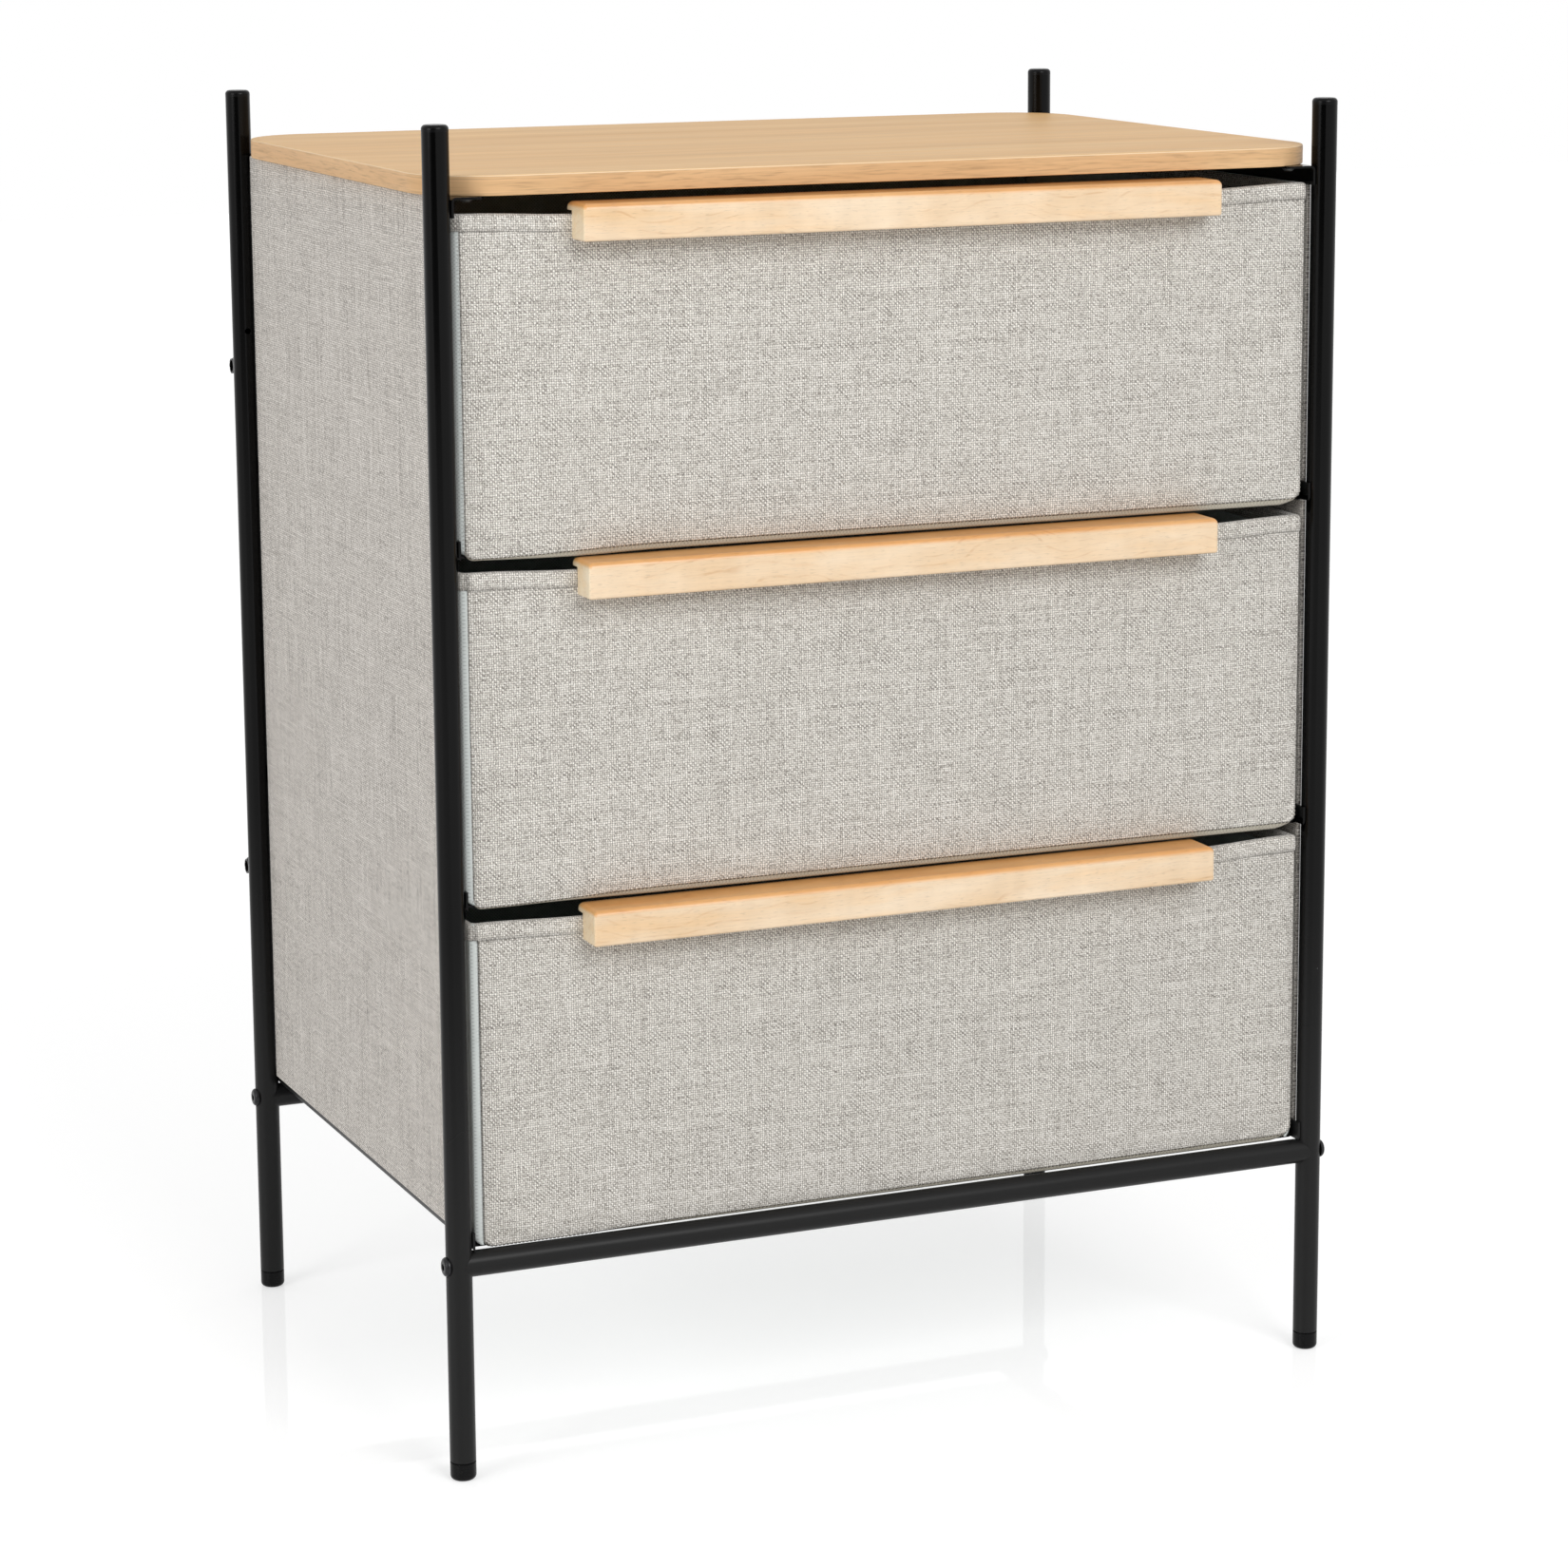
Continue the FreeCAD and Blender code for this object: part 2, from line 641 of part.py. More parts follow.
def drawer_pull(name, level):
    """Wood bar of L section: its lip hooks over the front's top edge, round at the back."""
    body = drawer_body(name, level, "pull")
    end = "pull_length / 2"
    section = new_sketch(body, "YZ_Plane")
    outline(section, [
        ("-pull_depth", "pull_top - pull_height"),
        ("0", "pull_top - pull_height"),
        ("0", "drawer_height"),
        ("lip_reach", "drawer_height"),
        ("lip_reach", "pull_top"),
        ("-pull_depth", "pull_top"),
    ])
    extrude(body, "Pad", section, "pull_length", symmetric=True)
    tips = (f"-{end}", end)
    fillet(body, "lip_corner_radius",
           lambda edge: any(at(edge, X=x, Y="lip_reach") for x in tips))
    fillet(body, "pull_edge_radius",
           lambda edge: any(at(edge, X=x, Y="-pull_depth") for x in tips))
    fillet(body, "pull_front_radius", lambda edge: at(edge, Y="-pull_depth", Z="pull_top"))
    fillet(body, "pull_edge_radius",
           lambda edge: at(edge, Y="-pull_depth", Z="pull_top - pull_height"))
    bores = new_sketch(body, "XZ_Plane")
    for sign in SIDES.values():
        circle(bores, "pull_screw_diameter + 2 * fit_clearance",
               f"{sign} * pull_screw_x", "pull_screw_z")
    extrude(body, "Pocket", bores, "pull_screw_length - front_thickness + pilot_clearance",
            reverse=True)
    return keep(body)


def pull_screws(name, level):
    """The two screws from inside the drawer into its pull."""
    floor = f"lowest_ledge_height + {level} * drawer_pitch + drawer_running_gap"
    group(f"drawer_{name}_pull_screws", [
        screw(f"pull_screw_{name}_{side}", "pull_screw",
              (f"{sign} * pull_screw_x", "front_y + front_thickness", f"{floor} + pull_screw_z"),
              Vector(0, 1, 0))
        for side, sign in SIDES.items()])


# --- the dresser ------------------------------------------------------------------------

corners = [(side, end) for end in ENDS for side in SIDES]
for side, end in corners:
    post(side, end)
    foot_cap(side, end)
    top_cap(side, end)
for end in ENDS:
    cross_rail(end)
group("rail_inserts", [rail_insert(side, end) for side, end in corners])
group("rail_bolts", [rail_bolt(side, end) for side, end in corners])
for level in ("lower", "upper"):
    brace(level)
group("brace_bolts", [brace_bolt(side, level) for level in ("lower", "upper") for side in SIDES])
for side in SIDES:
    top_rail(side)
    side_panel(side)
top_board()
group("board_screws", [board_screw(side, end) for side, end in corners])
for level, name in enumerate(DRAWERS):
    for side in SIDES:
        runner(name, level, side)
        drawer_wall(name, level, side)
    drawer_front(name, level)
    drawer_back(name, level)
    drawer_base(name, level)
    drawer_pull(name, level)
    pull_screws(name, level)

doc.recompute()
for item in doc.Objects:
    if "Invalid" in item.State or "Error" in item.State:
        raise RuntimeError(f"{item.Label} did not compute")
for node in nodes:
    if node.Shape.isNull() or not node.Shape.isValid():
        raise RuntimeError(f"{node.Label} has no valid shape")

os.makedirs("parts", exist_ok=True)
for node in nodes:
    node.Shape.exportStep(f"parts/{node.Label}.step")
    print(node.Label, len(node.Shape.Solids), round(node.Shape.Volume, 1))
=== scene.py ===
"""Looks of the fabric drawer dresser: a black tube frame, an oak-print top board, cloth-covered
side panels and three linen-fronted fabric drawers with solid wood pulls, in the order of assembly."""

import math

import bpy
import numpy as np
from mathutils import Matrix, Vector


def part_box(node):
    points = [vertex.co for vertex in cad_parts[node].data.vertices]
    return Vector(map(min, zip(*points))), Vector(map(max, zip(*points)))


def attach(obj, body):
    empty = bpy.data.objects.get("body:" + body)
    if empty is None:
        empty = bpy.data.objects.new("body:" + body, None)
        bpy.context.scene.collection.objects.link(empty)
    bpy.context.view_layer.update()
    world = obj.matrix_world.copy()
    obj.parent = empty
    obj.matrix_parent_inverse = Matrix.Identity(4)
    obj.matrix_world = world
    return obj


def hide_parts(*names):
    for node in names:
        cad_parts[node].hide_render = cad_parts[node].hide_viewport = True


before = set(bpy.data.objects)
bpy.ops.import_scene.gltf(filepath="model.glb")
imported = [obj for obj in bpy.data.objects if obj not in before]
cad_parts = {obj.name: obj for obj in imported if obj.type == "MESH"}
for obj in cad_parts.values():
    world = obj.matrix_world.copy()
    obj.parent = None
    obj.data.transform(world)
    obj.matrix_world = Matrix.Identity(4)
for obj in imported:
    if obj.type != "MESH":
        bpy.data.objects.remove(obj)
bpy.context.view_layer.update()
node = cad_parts
MM = 0.001
USUAL = {"From Min": 0.3, "From Max": 0.7}  # where nearly all of a noise's values lie


def box_mm(name):
    """The low and the high corner of a CAD part's box, in mm."""
    return (np.array(corner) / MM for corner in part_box(name))


# ---- Camera ------------------------------------------------------------------------------
# A long lens from the front left, with its eye a little above the top board. The shift
# only sets the object where it stands in the picture.
lens = bpy.data.cameras.new("camera")
lens.sensor_width, lens.lens = 36.0, 102.1
lens.shift_x, lens.shift_y = -0.0394, -0.0515
camera = bpy.data.objects.new("camera", lens)
camera.matrix_world = (
    Matrix.Translation((-1.1104, -2.65275, 0.9793))
    @ Matrix.Rotation(math.radians(-23.67), 4, "Z")
    @ Matrix.Rotation(math.radians(90 - 10.98), 4, "X")
    @ Matrix.Rotation(math.radians(-0.23), 4, "Z")
)
bpy.context.scene.collection.objects.link(camera)
bpy.context.scene.camera = camera
bpy.context.scene.view_settings.view_transform = "Standard"


# ---- Studio ------------------------------------------------------------------------------
# A white infinity table under soft light: a large softbox in front and above, a second one
# to the left of the dresser, and an even white room.
def feed(made, inputs):
    """Sets a node's inputs. inputs: {socket name or number: a value, or the output socket
    that is linked to it, or a node, which stands for its first output in use}."""
    for name, value in inputs.items():
        if isinstance(value, bpy.types.Node):
            value = next(socket for socket in value.outputs if socket.enabled)
        if isinstance(value, bpy.types.NodeSocket):
            made.id_data.links.new(value, made.inputs[name])
        else:
            made.inputs[name].default_value = value


def put(tree, kind, inputs=(), stops=(), **settings):
    """Adds the shader node of that kind, with its inputs as feed takes them and its own
    settings. stops: the (position, colour) pairs of a colour ramp, first, last, then others."""
    made = tree.nodes.new("ShaderNode" + kind)
    for name, value in settings.items():
        setattr(made, name, value)
    feed(made, dict(inputs))
    for k, (position, shade) in enumerate(stops):
        ramp = made.color_ramp.elements
        stop = ramp[k] if k < 2 else ramp.new(position)
        stop.position, stop.color = position, shade
    return made


def colour(code):
    """sRGB hex code to linear RGBA: c/12.92 under 0.04045, else ((c + 0.055)/1.055)^2.4."""
    c = np.array([int(code[i : i + 2], 16) for i in (1, 3, 5)]) / 255
    return (*np.where(c <= 0.04045, c / 12.92, ((c + 0.055) / 1.055) ** 2.4), 1.0)


def start(name):
    """A new node material: (material, its node tree, its Principled shader)."""
    made = bpy.data.materials.new(name)
    made.use_nodes = True
    return made, made.node_tree, made.node_tree.nodes["Principled BSDF"]


def stand(name, corners, paint):
    """A four-cornered board of the studio in that paint, which isn't part of the dresser."""
    board = bpy.data.meshes.new(name)
    board.from_pydata(corners, [], [(0, 1, 2, 3)])
    board.materials.append(paint)
    board = bpy.data.objects.new(name, board)
    bpy.context.scene.collection.objects.link(board)
    return board


room = bpy.data.worlds.new("white_room")
room.use_nodes = True
sky = room.node_tree
seen = put(sky, "LightPath").outputs
straight = put(
    sky, "Math", {0: seen["Is Camera Ray"], 1: seen["Is Transmission Ray"]}, operation="MAXIMUM"
)
direct = put(sky, "Math", {0: straight, 1: seen["Is Glossy Ray"]}, operation="MAXIMUM")
strength = put(sky, "MapRange", {"Value": direct, "To Min": 0.58, "To Max": 1.0})
feed(sky.nodes["Background"], {"Color": (1, 1, 1, 1), "Strength": strength})
bpy.context.scene.world = room

white, tree, shader = start("white_table")
seen = put(tree, "LightPath").outputs
direct = put(
    tree, "Math", {0: seen["Is Camera Ray"], 1: seen["Is Glossy Ray"]}, operation="MAXIMUM"
)
lift = put(tree, "MapRange", {"Value": direct, "To Min": 0.17, "To Max": 0.53})
feed(shader, {"Base Color": (0.6, 0.6, 0.6, 1), "Roughness": 0.03, "Specular IOR Level": 0.06})
feed(shader, {"Emission Color": (1, 1, 1, 1), "Emission Strength": lift})
stand("table", [(-9, -9, 0), (9, -9, 0), (9, 9, 0), (-9, 9, 0)], white)

for name, place, size, power in (
    ("softbox_key", (0.5, -3.3, 2.5), 1.7, 64),
    ("softbox_left", (-3.2, -1.3, 1.5), 1.6, 40),
):
    lamp = bpy.data.lights.new(name, "AREA")
    lamp.shape, lamp.size, lamp.energy = "SQUARE", size, power
    lamp = bpy.data.objects.new(name, lamp)
    lamp.location = place
    aim = Vector((0, 0, 0.45)) - Vector(place)
    lamp.rotation_euler = aim.to_track_quat("-Z", "Y").to_euler()
    bpy.context.scene.collection.objects.link(lamp)

# A black flag behind the camera, seen only in reflections: the glossy tubes go black in the
# middle and keep a pale line down each side. It stands 6 m off, square to that direction.
felt, tree, shader = start("black_felt")
feed(shader, {"Base Color": (0.0, 0.0, 0.0, 1), "Specular IOR Level": 0.0})
way = math.radians(230)
across = np.array((-math.sin(way), math.cos(way))) * 2.65
foot = np.array((math.cos(way), math.sin(way))) * 6.0
corners = [(*(foot + side * across), z) for side, z in ((-1, 0.0), (1, 0.0), (1, 4.5), (-1, 4.5))]
flag = stand("flag", corners, felt)
flag.visible_camera = flag.visible_diffuse = flag.visible_shadow = False
flag.visible_transmission = False


# ---- Tube frame, angles and fasteners ----------------------------------------------------
# Drawn steel tube of 16 mm, bent sheet angles and thin braces, all powder coated black
# after cutting. The coat is satin with a fine orange peel and a few pale rub marks.
def coat(names, finish):
    """Gives the CAD parts with those names that finish in place of the plain one."""
    for name in names:
        node[name].data.materials.clear()
        node[name].data.materials.append(finish)


# Powder coat reads as deep black with thin highlights along the tubes. Toward the floor the
# coat is duller, and painted greyer as a painted reflection of the white floor: the share
# rises from 0 at 360 mm to 1 at 120 mm above the floor.
powder_coat, tree, shader = start("powder_coat_black")
place = put(tree, "TexCoord").outputs["Object"]
axis = put(tree, "SeparateXYZ", {0: place}).outputs
height = {"Value": axis[2], "From Min": 0.36, "From Max": 0.12}
near_floor = put(tree, "MapRange", height, interpolation_type="SMOOTHSTEP")
peel = put(tree, "TexNoise", {"Vector": place, "Scale": 620, "Detail": 2})
cloud = put(tree, "TexNoise", {"Vector": place, "Scale": 14, "Detail": 4})
rough = put(tree, "Math", {0: near_floor, 1: 0.2, 2: 0.1}, operation="MULTIPLY_ADD")
rough = put(tree, "Math", {0: cloud, 1: 0.1, 2: rough}, operation="MULTIPLY_ADD")
# Rub marks: lone specks under 0.6 mm, one in every fifth cell of 12 mm.
cell = put(tree, "TexVoronoi", {"Vector": place, "Scale": 85})
near = put(tree, "MapRange", {"Value": cell, "From Min": 0.026, "From Max": 0.012})
chosen = put(tree, "SeparateXYZ", {0: cell.outputs["Color"]})
chosen = put(tree, "Math", {0: chosen, 1: 0.8}, operation="GREATER_THAN")
mark = put(tree, "Math", {0: near, 1: chosen}, operation="MULTIPLY")
# Painted reflection: the coat's colour goes from #040404 to #1B1B1B toward the floor, where the white floor
# is mirrored in the legs.
ground = put(tree, "Mix", {0: near_floor, 6: colour("#040404"), 7: colour("#1B1B1B")}, data_type="RGBA")
tone = put(tree, "Mix", {0: mark, 6: ground, 7: colour("#77777A")}, data_type="RGBA")
gloss = put(tree, "MapRange", {"Value": near_floor, "To Min": 0.13, "To Max": 0.16})
bump = put(tree, "Bump", {"Height": peel, "Strength": 0.2, "Distance": 0.00006})
feed(shader, {"Base Color": tone, "Roughness": rough, "Normal": bump, "Specular IOR Level": gloss})
tubes = ("post_", "rail_front", "rail_rear", "brace_l", "brace_u", "runner_", "top_rail_")
coat([name for name in node if name.startswith(tubes)], powder_coat)

# Moulded polypropylene caps: black, with a glossy edge and a fine grain.
moulded, tree, shader = start("polypropylene_black")
place = put(tree, "TexCoord").outputs["Object"]
grain = put(tree, "TexNoise", {"Vector": place, "Scale": 1500, "Detail": 3})
scuff = put(tree, "TexNoise", {"Vector": place, "Scale": 160, "Detail": 5})
tone = put(tree, "Mix", {0: scuff, 6: colour("#050505"), 7: colour("#101011")}, data_type="RGBA")
rough = put(tree, "MapRange", {"Value": scuff, "To Min": 0.16, "To Max": 0.36})
bump = put(tree, "Bump", {"Height": grain, "Strength": 0.2, "Distance": 0.0001})
feed(shader, {"Base Color": tone, "Roughness": rough, "Normal": bump, "Specular IOR Level": 0.12})
coat([name for name in node if name.startswith(("foot_cap_", "top_cap_"))], moulded)

# Black oxide on the button-head bolts: dark steel whose rubbed edges show some metal. Zinc
# plate on the hidden screws and inserts: pale grey metal with a cloudy sheen.
hidden = [name for name in node if name.endswith("_screws") or name == "rail_inserts"]
for name, scale, detail, dark, light, shiny, dull, metal, parts in (
    ("black_oxide_steel", 420, 4, "#131314", "#3A3A3C", 0.24, 0.5, 0.8, ["rail_bolts", "brace_bolts"]),
    ("zinc_plated_steel", 700, 3, "#9EA3A8", "#D5D8DA", 0.22, 0.42, 1.0, hidden),
):
    plated, tree, shader = start(name)
    place = put(tree, "TexCoord").outputs["Object"]
    cloud = put(tree, "TexNoise", {"Vector": place, "Scale": scale, "Detail": detail})
    tone = put(tree, "Mix", {0: cloud, 6: colour(dark), 7: colour(light)}, data_type="RGBA")
    rough = put(tree, "MapRange", {"Value": cloud, "To Min": shiny, "To Max": dull})
    feed(shader, {"Base Color": tone, "Roughness": rough, "Metallic": metal})
    coat(parts, plated)


# ---- Top board ---------------------------------------------------------------------------
# A 12 mm particle board with an oak-print melamine face and an edge band of the same
# print, its grain running across the dresser. The band's arris is painted slightly paler, a
# painted highlight.
def stretched(tree, place, scale, **settings):
    """A noise over that place, stretched: scale is per metre along x, y and z."""
    here = put(tree, "Mapping", {0: place, 3: scale})
    return put(tree, "TexNoise", {"Vector": here, "Scale": 1.0, **settings})


oak_print, tree, shader = start("oak_melamine")
place = put(tree, "TexCoord").outputs["Object"]
normal = put(tree, "SeparateXYZ", {0: put(tree, "NewGeometry").outputs["Normal"]}).outputs
axis = put(tree, "SeparateXYZ", {0: place}).outputs
# On the band the grain follows the edge: (x + y, 0.37, z) runs along all four sides.
run = put(tree, "Math", {0: axis[0], 1: axis[1]}, operation="ADD")
edge_place = put(tree, "CombineXYZ", {0: run, 1: 0.37, 2: axis[2]})
upright = put(tree, "Math", {0: normal[2]}, operation="ABSOLUTE")
face = put(tree, "Math", {0: upright, 1: 0.5}, operation="GREATER_THAN")
where = put(tree, "Mix", {0: face, 4: edge_place, 5: place}, data_type="VECTOR")
# Broad figure: bands 15-60 mm wide and a few hundred long, bent by a slow noise.
sway = put(tree, "TexNoise", {"Vector": where, "Scale": 2.3, "Detail": 2})
bent = put(
    tree, "VectorMath", {0: sway.outputs["Color"], 1: (0.0, 0.05, 0.012), 2: where}, operation="MULTIPLY_ADD"
)
figure = stretched(tree, bent, (2.2, 34, 60), Detail=4, Roughness=0.55)
# Grain lines: about 5 mm by 140 mm on the face, and 1.5 mm high on the band. Pores: short
# brown dashes 1 mm by 20 mm, plain to see on the band and faint on the face.
streak = stretched(tree, bent, (7, 190, 640), Detail=3)
pore = stretched(tree, bent, (46, 900, 1000), Detail=2)
spread = put(tree, "Math", {0: figure, 1: 0.62, 2: 0.19}, operation="MULTIPLY_ADD")
browns = ((0.3, colour("#CCA172")), (0.72, colour("#DFBB90")), (0.5, colour("#D6AE81")))
tone = put(tree, "ValToRGB", {0: spread}, stops=browns)
lines = put(tree, "MapRange", {"Value": streak, **USUAL, "To Min": 0.94, "To Max": 1.05})
depth = put(tree, "MapRange", {"Value": face, "To Min": -0.24, "To Max": -0.06})
tick = put(tree, "MapRange", {"Value": pore, "From Min": 0.5, "From Max": 0.7})
ticks = put(tree, "Math", {0: tick, 1: depth, 2: 1.0}, operation="MULTIPLY_ADD")
shade = put(tree, "Math", {0: lines, 1: ticks}, operation="MULTIPLY")
grainy = put(tree, "VectorMath", {0: tone, "Scale": shade}, operation="SCALE")
# The face is printed lighter and yellower than the band.
tint = put(tree, "Mix", {0: face, 4: (1.0, 1.0, 1.0), 5: (1.14, 1.13, 0.985)}, data_type="VECTOR")
grainy = put(tree, "VectorMath", {0: grainy, 1: tint}, operation="MULTIPLY")
# The arris, where the normal is between the band's and the face's, is painted pale: a
# painted highlight along the rounded edge.
halfway = ((0.08, (0, 0, 0, 1)), (0.98, (0, 0, 0, 1)), (0.5, (1, 1, 1, 1)))
arris = put(tree, "ValToRGB", {0: normal[2]}, stops=halfway)
edge = put(tree, "Math", {0: arris, 1: 0.7}, operation="MULTIPLY")
final = put(tree, "Mix", {0: edge, 6: grainy, 7: colour("#F3DFC0")}, data_type="RGBA")
rough = put(tree, "MapRange", {"Value": streak, "To Min": 0.4, "To Max": 0.52})
bump = put(tree, "Bump", {"Height": shade, "Strength": 0.2, "Distance": 0.0002})
feed(shader, {"Base Color": final, "Roughness": rough, "Normal": bump, "Specular IOR Level": 0.12})
coat(["top_board"], oak_print)


# ---- Side panels -------------------------------------------------------------------------
# Thin boards with linen-look cloth drawn tight over them and stapled on the inside; they
# slip between the posts. The cloth is a plain weave of uneven, heathered yarns.
def linen(name, pale, mid, dark, warp_tone, weft_tone, slub, seed):
    """Plain weave drawn from the cloth's own coordinates u (along the weft) and v (along
    the warp). With s = (u, v)/pitch, warp yarn floor(s.u) lies on top where
    floor(s.u) + floor(s.v) is even. A yarn's profile is sin(pi * fract(s)), and its tone is
    a noise that changes slowly along it and at once from yarn to yarn."""
    warp_pitch, weft_pitch = 1.48 * MM, 1.37 * MM  # yarn spacings of this coarse cloth
    uneven, fibre_gain, slant_gain = 0.2, 0.5, 0.2  # shares of the tone from pale to dark
    deepest, highest = 0.3, 1.1  # brightness between the yarns and on top of them
    made, tree, shader = start(name)
    here = put(tree, "UVMap", uv_map="cloth")
    # Yarns wander by a third of their spacing over about 15 mm.
    wander = put(
        tree, "TexNoise", {"Vector": here, "Scale": 70, "Detail": 2, "W": seed}, noise_dimensions="4D"
    )
    s = put(
        tree,
        "VectorMath",
        {0: here, 1: (1 / warp_pitch, 1 / weft_pitch, 0), 2: wander.outputs["Color"]},
        operation="MULTIPLY_ADD",
    )
    whole = put(tree, "VectorMath", {0: s}, operation="FLOOR")
    part = put(tree, "VectorMath", {0: s}, operation="FRACTION")
    index = put(tree, "SeparateXYZ", {0: whole}).outputs
    across = put(tree, "SeparateXYZ", {0: s}).outputs
    total = put(tree, "Math", {0: index[0], 1: index[1]}, operation="ADD")
    half = put(tree, "Math", {0: total, 1: 0.5}, operation="MULTIPLY")
    odd = put(tree, "Math", {0: half}, operation="FRACT")
    warp_up = put(tree, "Math", {0: odd, 1: 0.25}, operation="GREATER_THAN")
    turned = put(tree, "VectorMath", {0: part, 1: (math.pi,) * 3}, operation="MULTIPLY")
    turned = put(tree, "VectorMath", {0: turned}, operation="SINE")
    arch = put(tree, "SeparateXYZ", {0: turned}).outputs
    tones = []
    for yarn, along, gain in ((0, 1, warp_tone), (1, 0, weft_tone)):
        # Heather: most yarns are alike, and a few are much paler or darker for 50-150 mm.
        which = put(tree, "Math", {0: index[yarn], 1: 7.31}, operation="MULTIPLY")
        far = put(tree, "Math", {0: across[along], 1: 0.026}, operation="MULTIPLY")
        line = put(tree, "CombineXYZ", {0: which, 1: far, 2: seed + 3.7 * yarn})
        heather = put(tree, "TexNoise", {"Vector": line, "Scale": 1.0, "Detail": 2})
        greys = [(at, (grey,) * 3 + (1,)) for at, grey in ((0.3, 0), (0.7, 1), (0.43, 0.42), (0.57, 0.58))]
        spread = put(tree, "ValToRGB", {0: heather}, stops=greys)
        run = put(tree, "MapRange", {"Value": spread, "To Min": gain[0], "To Max": gain[1]})
        # Fibres: dashes 0.5 mm wide and 1.2 mm long, laid aslant by the yarn's twist.
        twist = put(tree, "Mapping", {0: here, 2: (0, 0, math.radians(-45)), 3: (2100, 850, 1)})
        dash = put(tree, "TexNoise", {"Vector": twist, "Scale": 1.0, "Detail": 1})
        fibres = {"Value": dash, **USUAL, "To Min": -fibre_gain, "To Max": fibre_gain}
        fibres = put(tree, "MapRange", fibres)
        tones.append(put(tree, "Math", {0: run, 1: fibres}, operation="ADD"))
    # The yarn below shows past the rim of the one on top, and makes a quarter of the tone.
    over = put(tree, "MapRange", {"Value": warp_up, "To Min": 0.25, "To Max": 0.75})
    value = put(tree, "Mix", {0: over, 2: tones[1], 3: tones[0]})
    # Where the twists line up, a faint diagonal shows: cos(pi (s.u + s.v)), in patches.
    slant = put(tree, "Math", {0: across[0], 1: across[1]}, operation="ADD")
    slant = put(tree, "Math", {0: slant, 1: math.pi}, operation="MULTIPLY")
    slant = put(tree, "Math", {0: slant}, operation="COSINE")
    patch = put(tree, "TexNoise", {"Vector": here, "Scale": 60, "Detail": 1})
    patch = put(
        tree, "MapRange", {"Value": patch, "From Min": 0.35, "From Max": 0.65, "To Max": slant_gain}
    )
    slant = put(tree, "Math", {0: slant, 1: patch}, operation="MULTIPLY")
    # Each crossing is tighter or looser than its neighbours, and so paler or darker.
    chance = put(tree, "TexWhiteNoise", {"Vector": whole})
    chance = put(tree, "MapRange", {"Value": chance, "To Min": -uneven, "To Max": uneven})
    mottle = put(tree, "TexNoise", {"Vector": here, "Scale": 24, "Detail": 3})
    cloudy = put(tree, "MapRange", {"Value": mottle, "To Min": -0.015, "To Max": 0.015})
    for change in (slant, chance, cloudy):
        value = put(tree, "Math", {0: value, 1: change}, operation="ADD")
    # Slubs: now and then a dark weft yarn for 10-25 mm.
    far = put(tree, "Math", {0: across[0], 1: 0.07}, operation="MULTIPLY")
    which = put(tree, "Math", {0: index[1], 1: 5.17}, operation="MULTIPLY")
    slubs = put(tree, "CombineXYZ", {0: far, 1: which, 2: seed + 11.0})
    slubs = put(tree, "TexNoise", {"Vector": slubs, "Scale": 1.0, "Detail": 1})
    slubs = put(tree, "MapRange", {"Value": slubs, "From Min": 0.6, "From Max": 0.78, "To Max": slub})
    value = put(tree, "Math", {0: value, 1: slubs}, operation="SUBTRACT")
    shades = ((0.0, colour(dark)), (1.0, colour(pale)), (0.5, colour(mid)))
    tone = put(tree, "ValToRGB", {0: value}, stops=shades)
    # Height of the yarn on top: its own arch, sunk at the crossings.
    heights = []
    for yarn, along in ((0, 1), (1, 0)):
        sunk = put(tree, "Math", {0: arch[along], 1: 0.35, 2: 0.65}, operation="MULTIPLY_ADD")
        heights.append(put(tree, "Math", {0: sunk, 1: arch[yarn]}, operation="MULTIPLY"))
    height = put(tree, "Mix", {0: warp_up, 2: heights[1], 3: heights[0]})
    # Painted shade and highlight: the tone is darkened to 0.3 in the hollows between the yarns and
    # brightened to 1.1 on their tops.
    hollow = put(tree, "MapRange", {"Value": height, "To Min": deepest, "To Max": highest})
    final = put(tree, "VectorMath", {0: tone, "Scale": hollow}, operation="SCALE")
    fibre = put(tree, "TexNoise", {"Vector": here, "Scale": 3200, "Detail": 2})
    raised = put(tree, "Math", {0: fibre, 1: 0.2, 2: height}, operation="MULTIPLY_ADD")
    bump = put(tree, "Bump", {"Height": raised, "Strength": 0.6, "Distance": 0.25 * MM})
    feed(shader, {"Base Color": final, "Normal": bump, "Roughness": 0.92})
    feed(shader, {"Sheen Weight": 0.18, "Sheen Roughness": 0.5})
    return made


def placed(name, points, faces, finishes, body):
    """A smooth piece of those faces with its finishes, which rides on the body. points: in
    metres; those within a micron of each other become one."""
    whole_microns = np.round(points * 1e6).astype(np.int64)
    _, keep, same = np.unique(whole_microns, axis=0, return_index=True, return_inverse=True)
    mesh = bpy.data.meshes.new(name)
    mesh.from_pydata(points[keep].tolist(), [], same.reshape(-1)[faces].tolist())
    mesh.polygons.foreach_set("use_smooth", np.ones(len(faces), bool))
    for finish in finishes:
        mesh.materials.append(finish)
    piece = bpy.data.objects.new(name, mesh)
    bpy.context.scene.collection.objects.link(piece)
    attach(piece, body)
    return piece


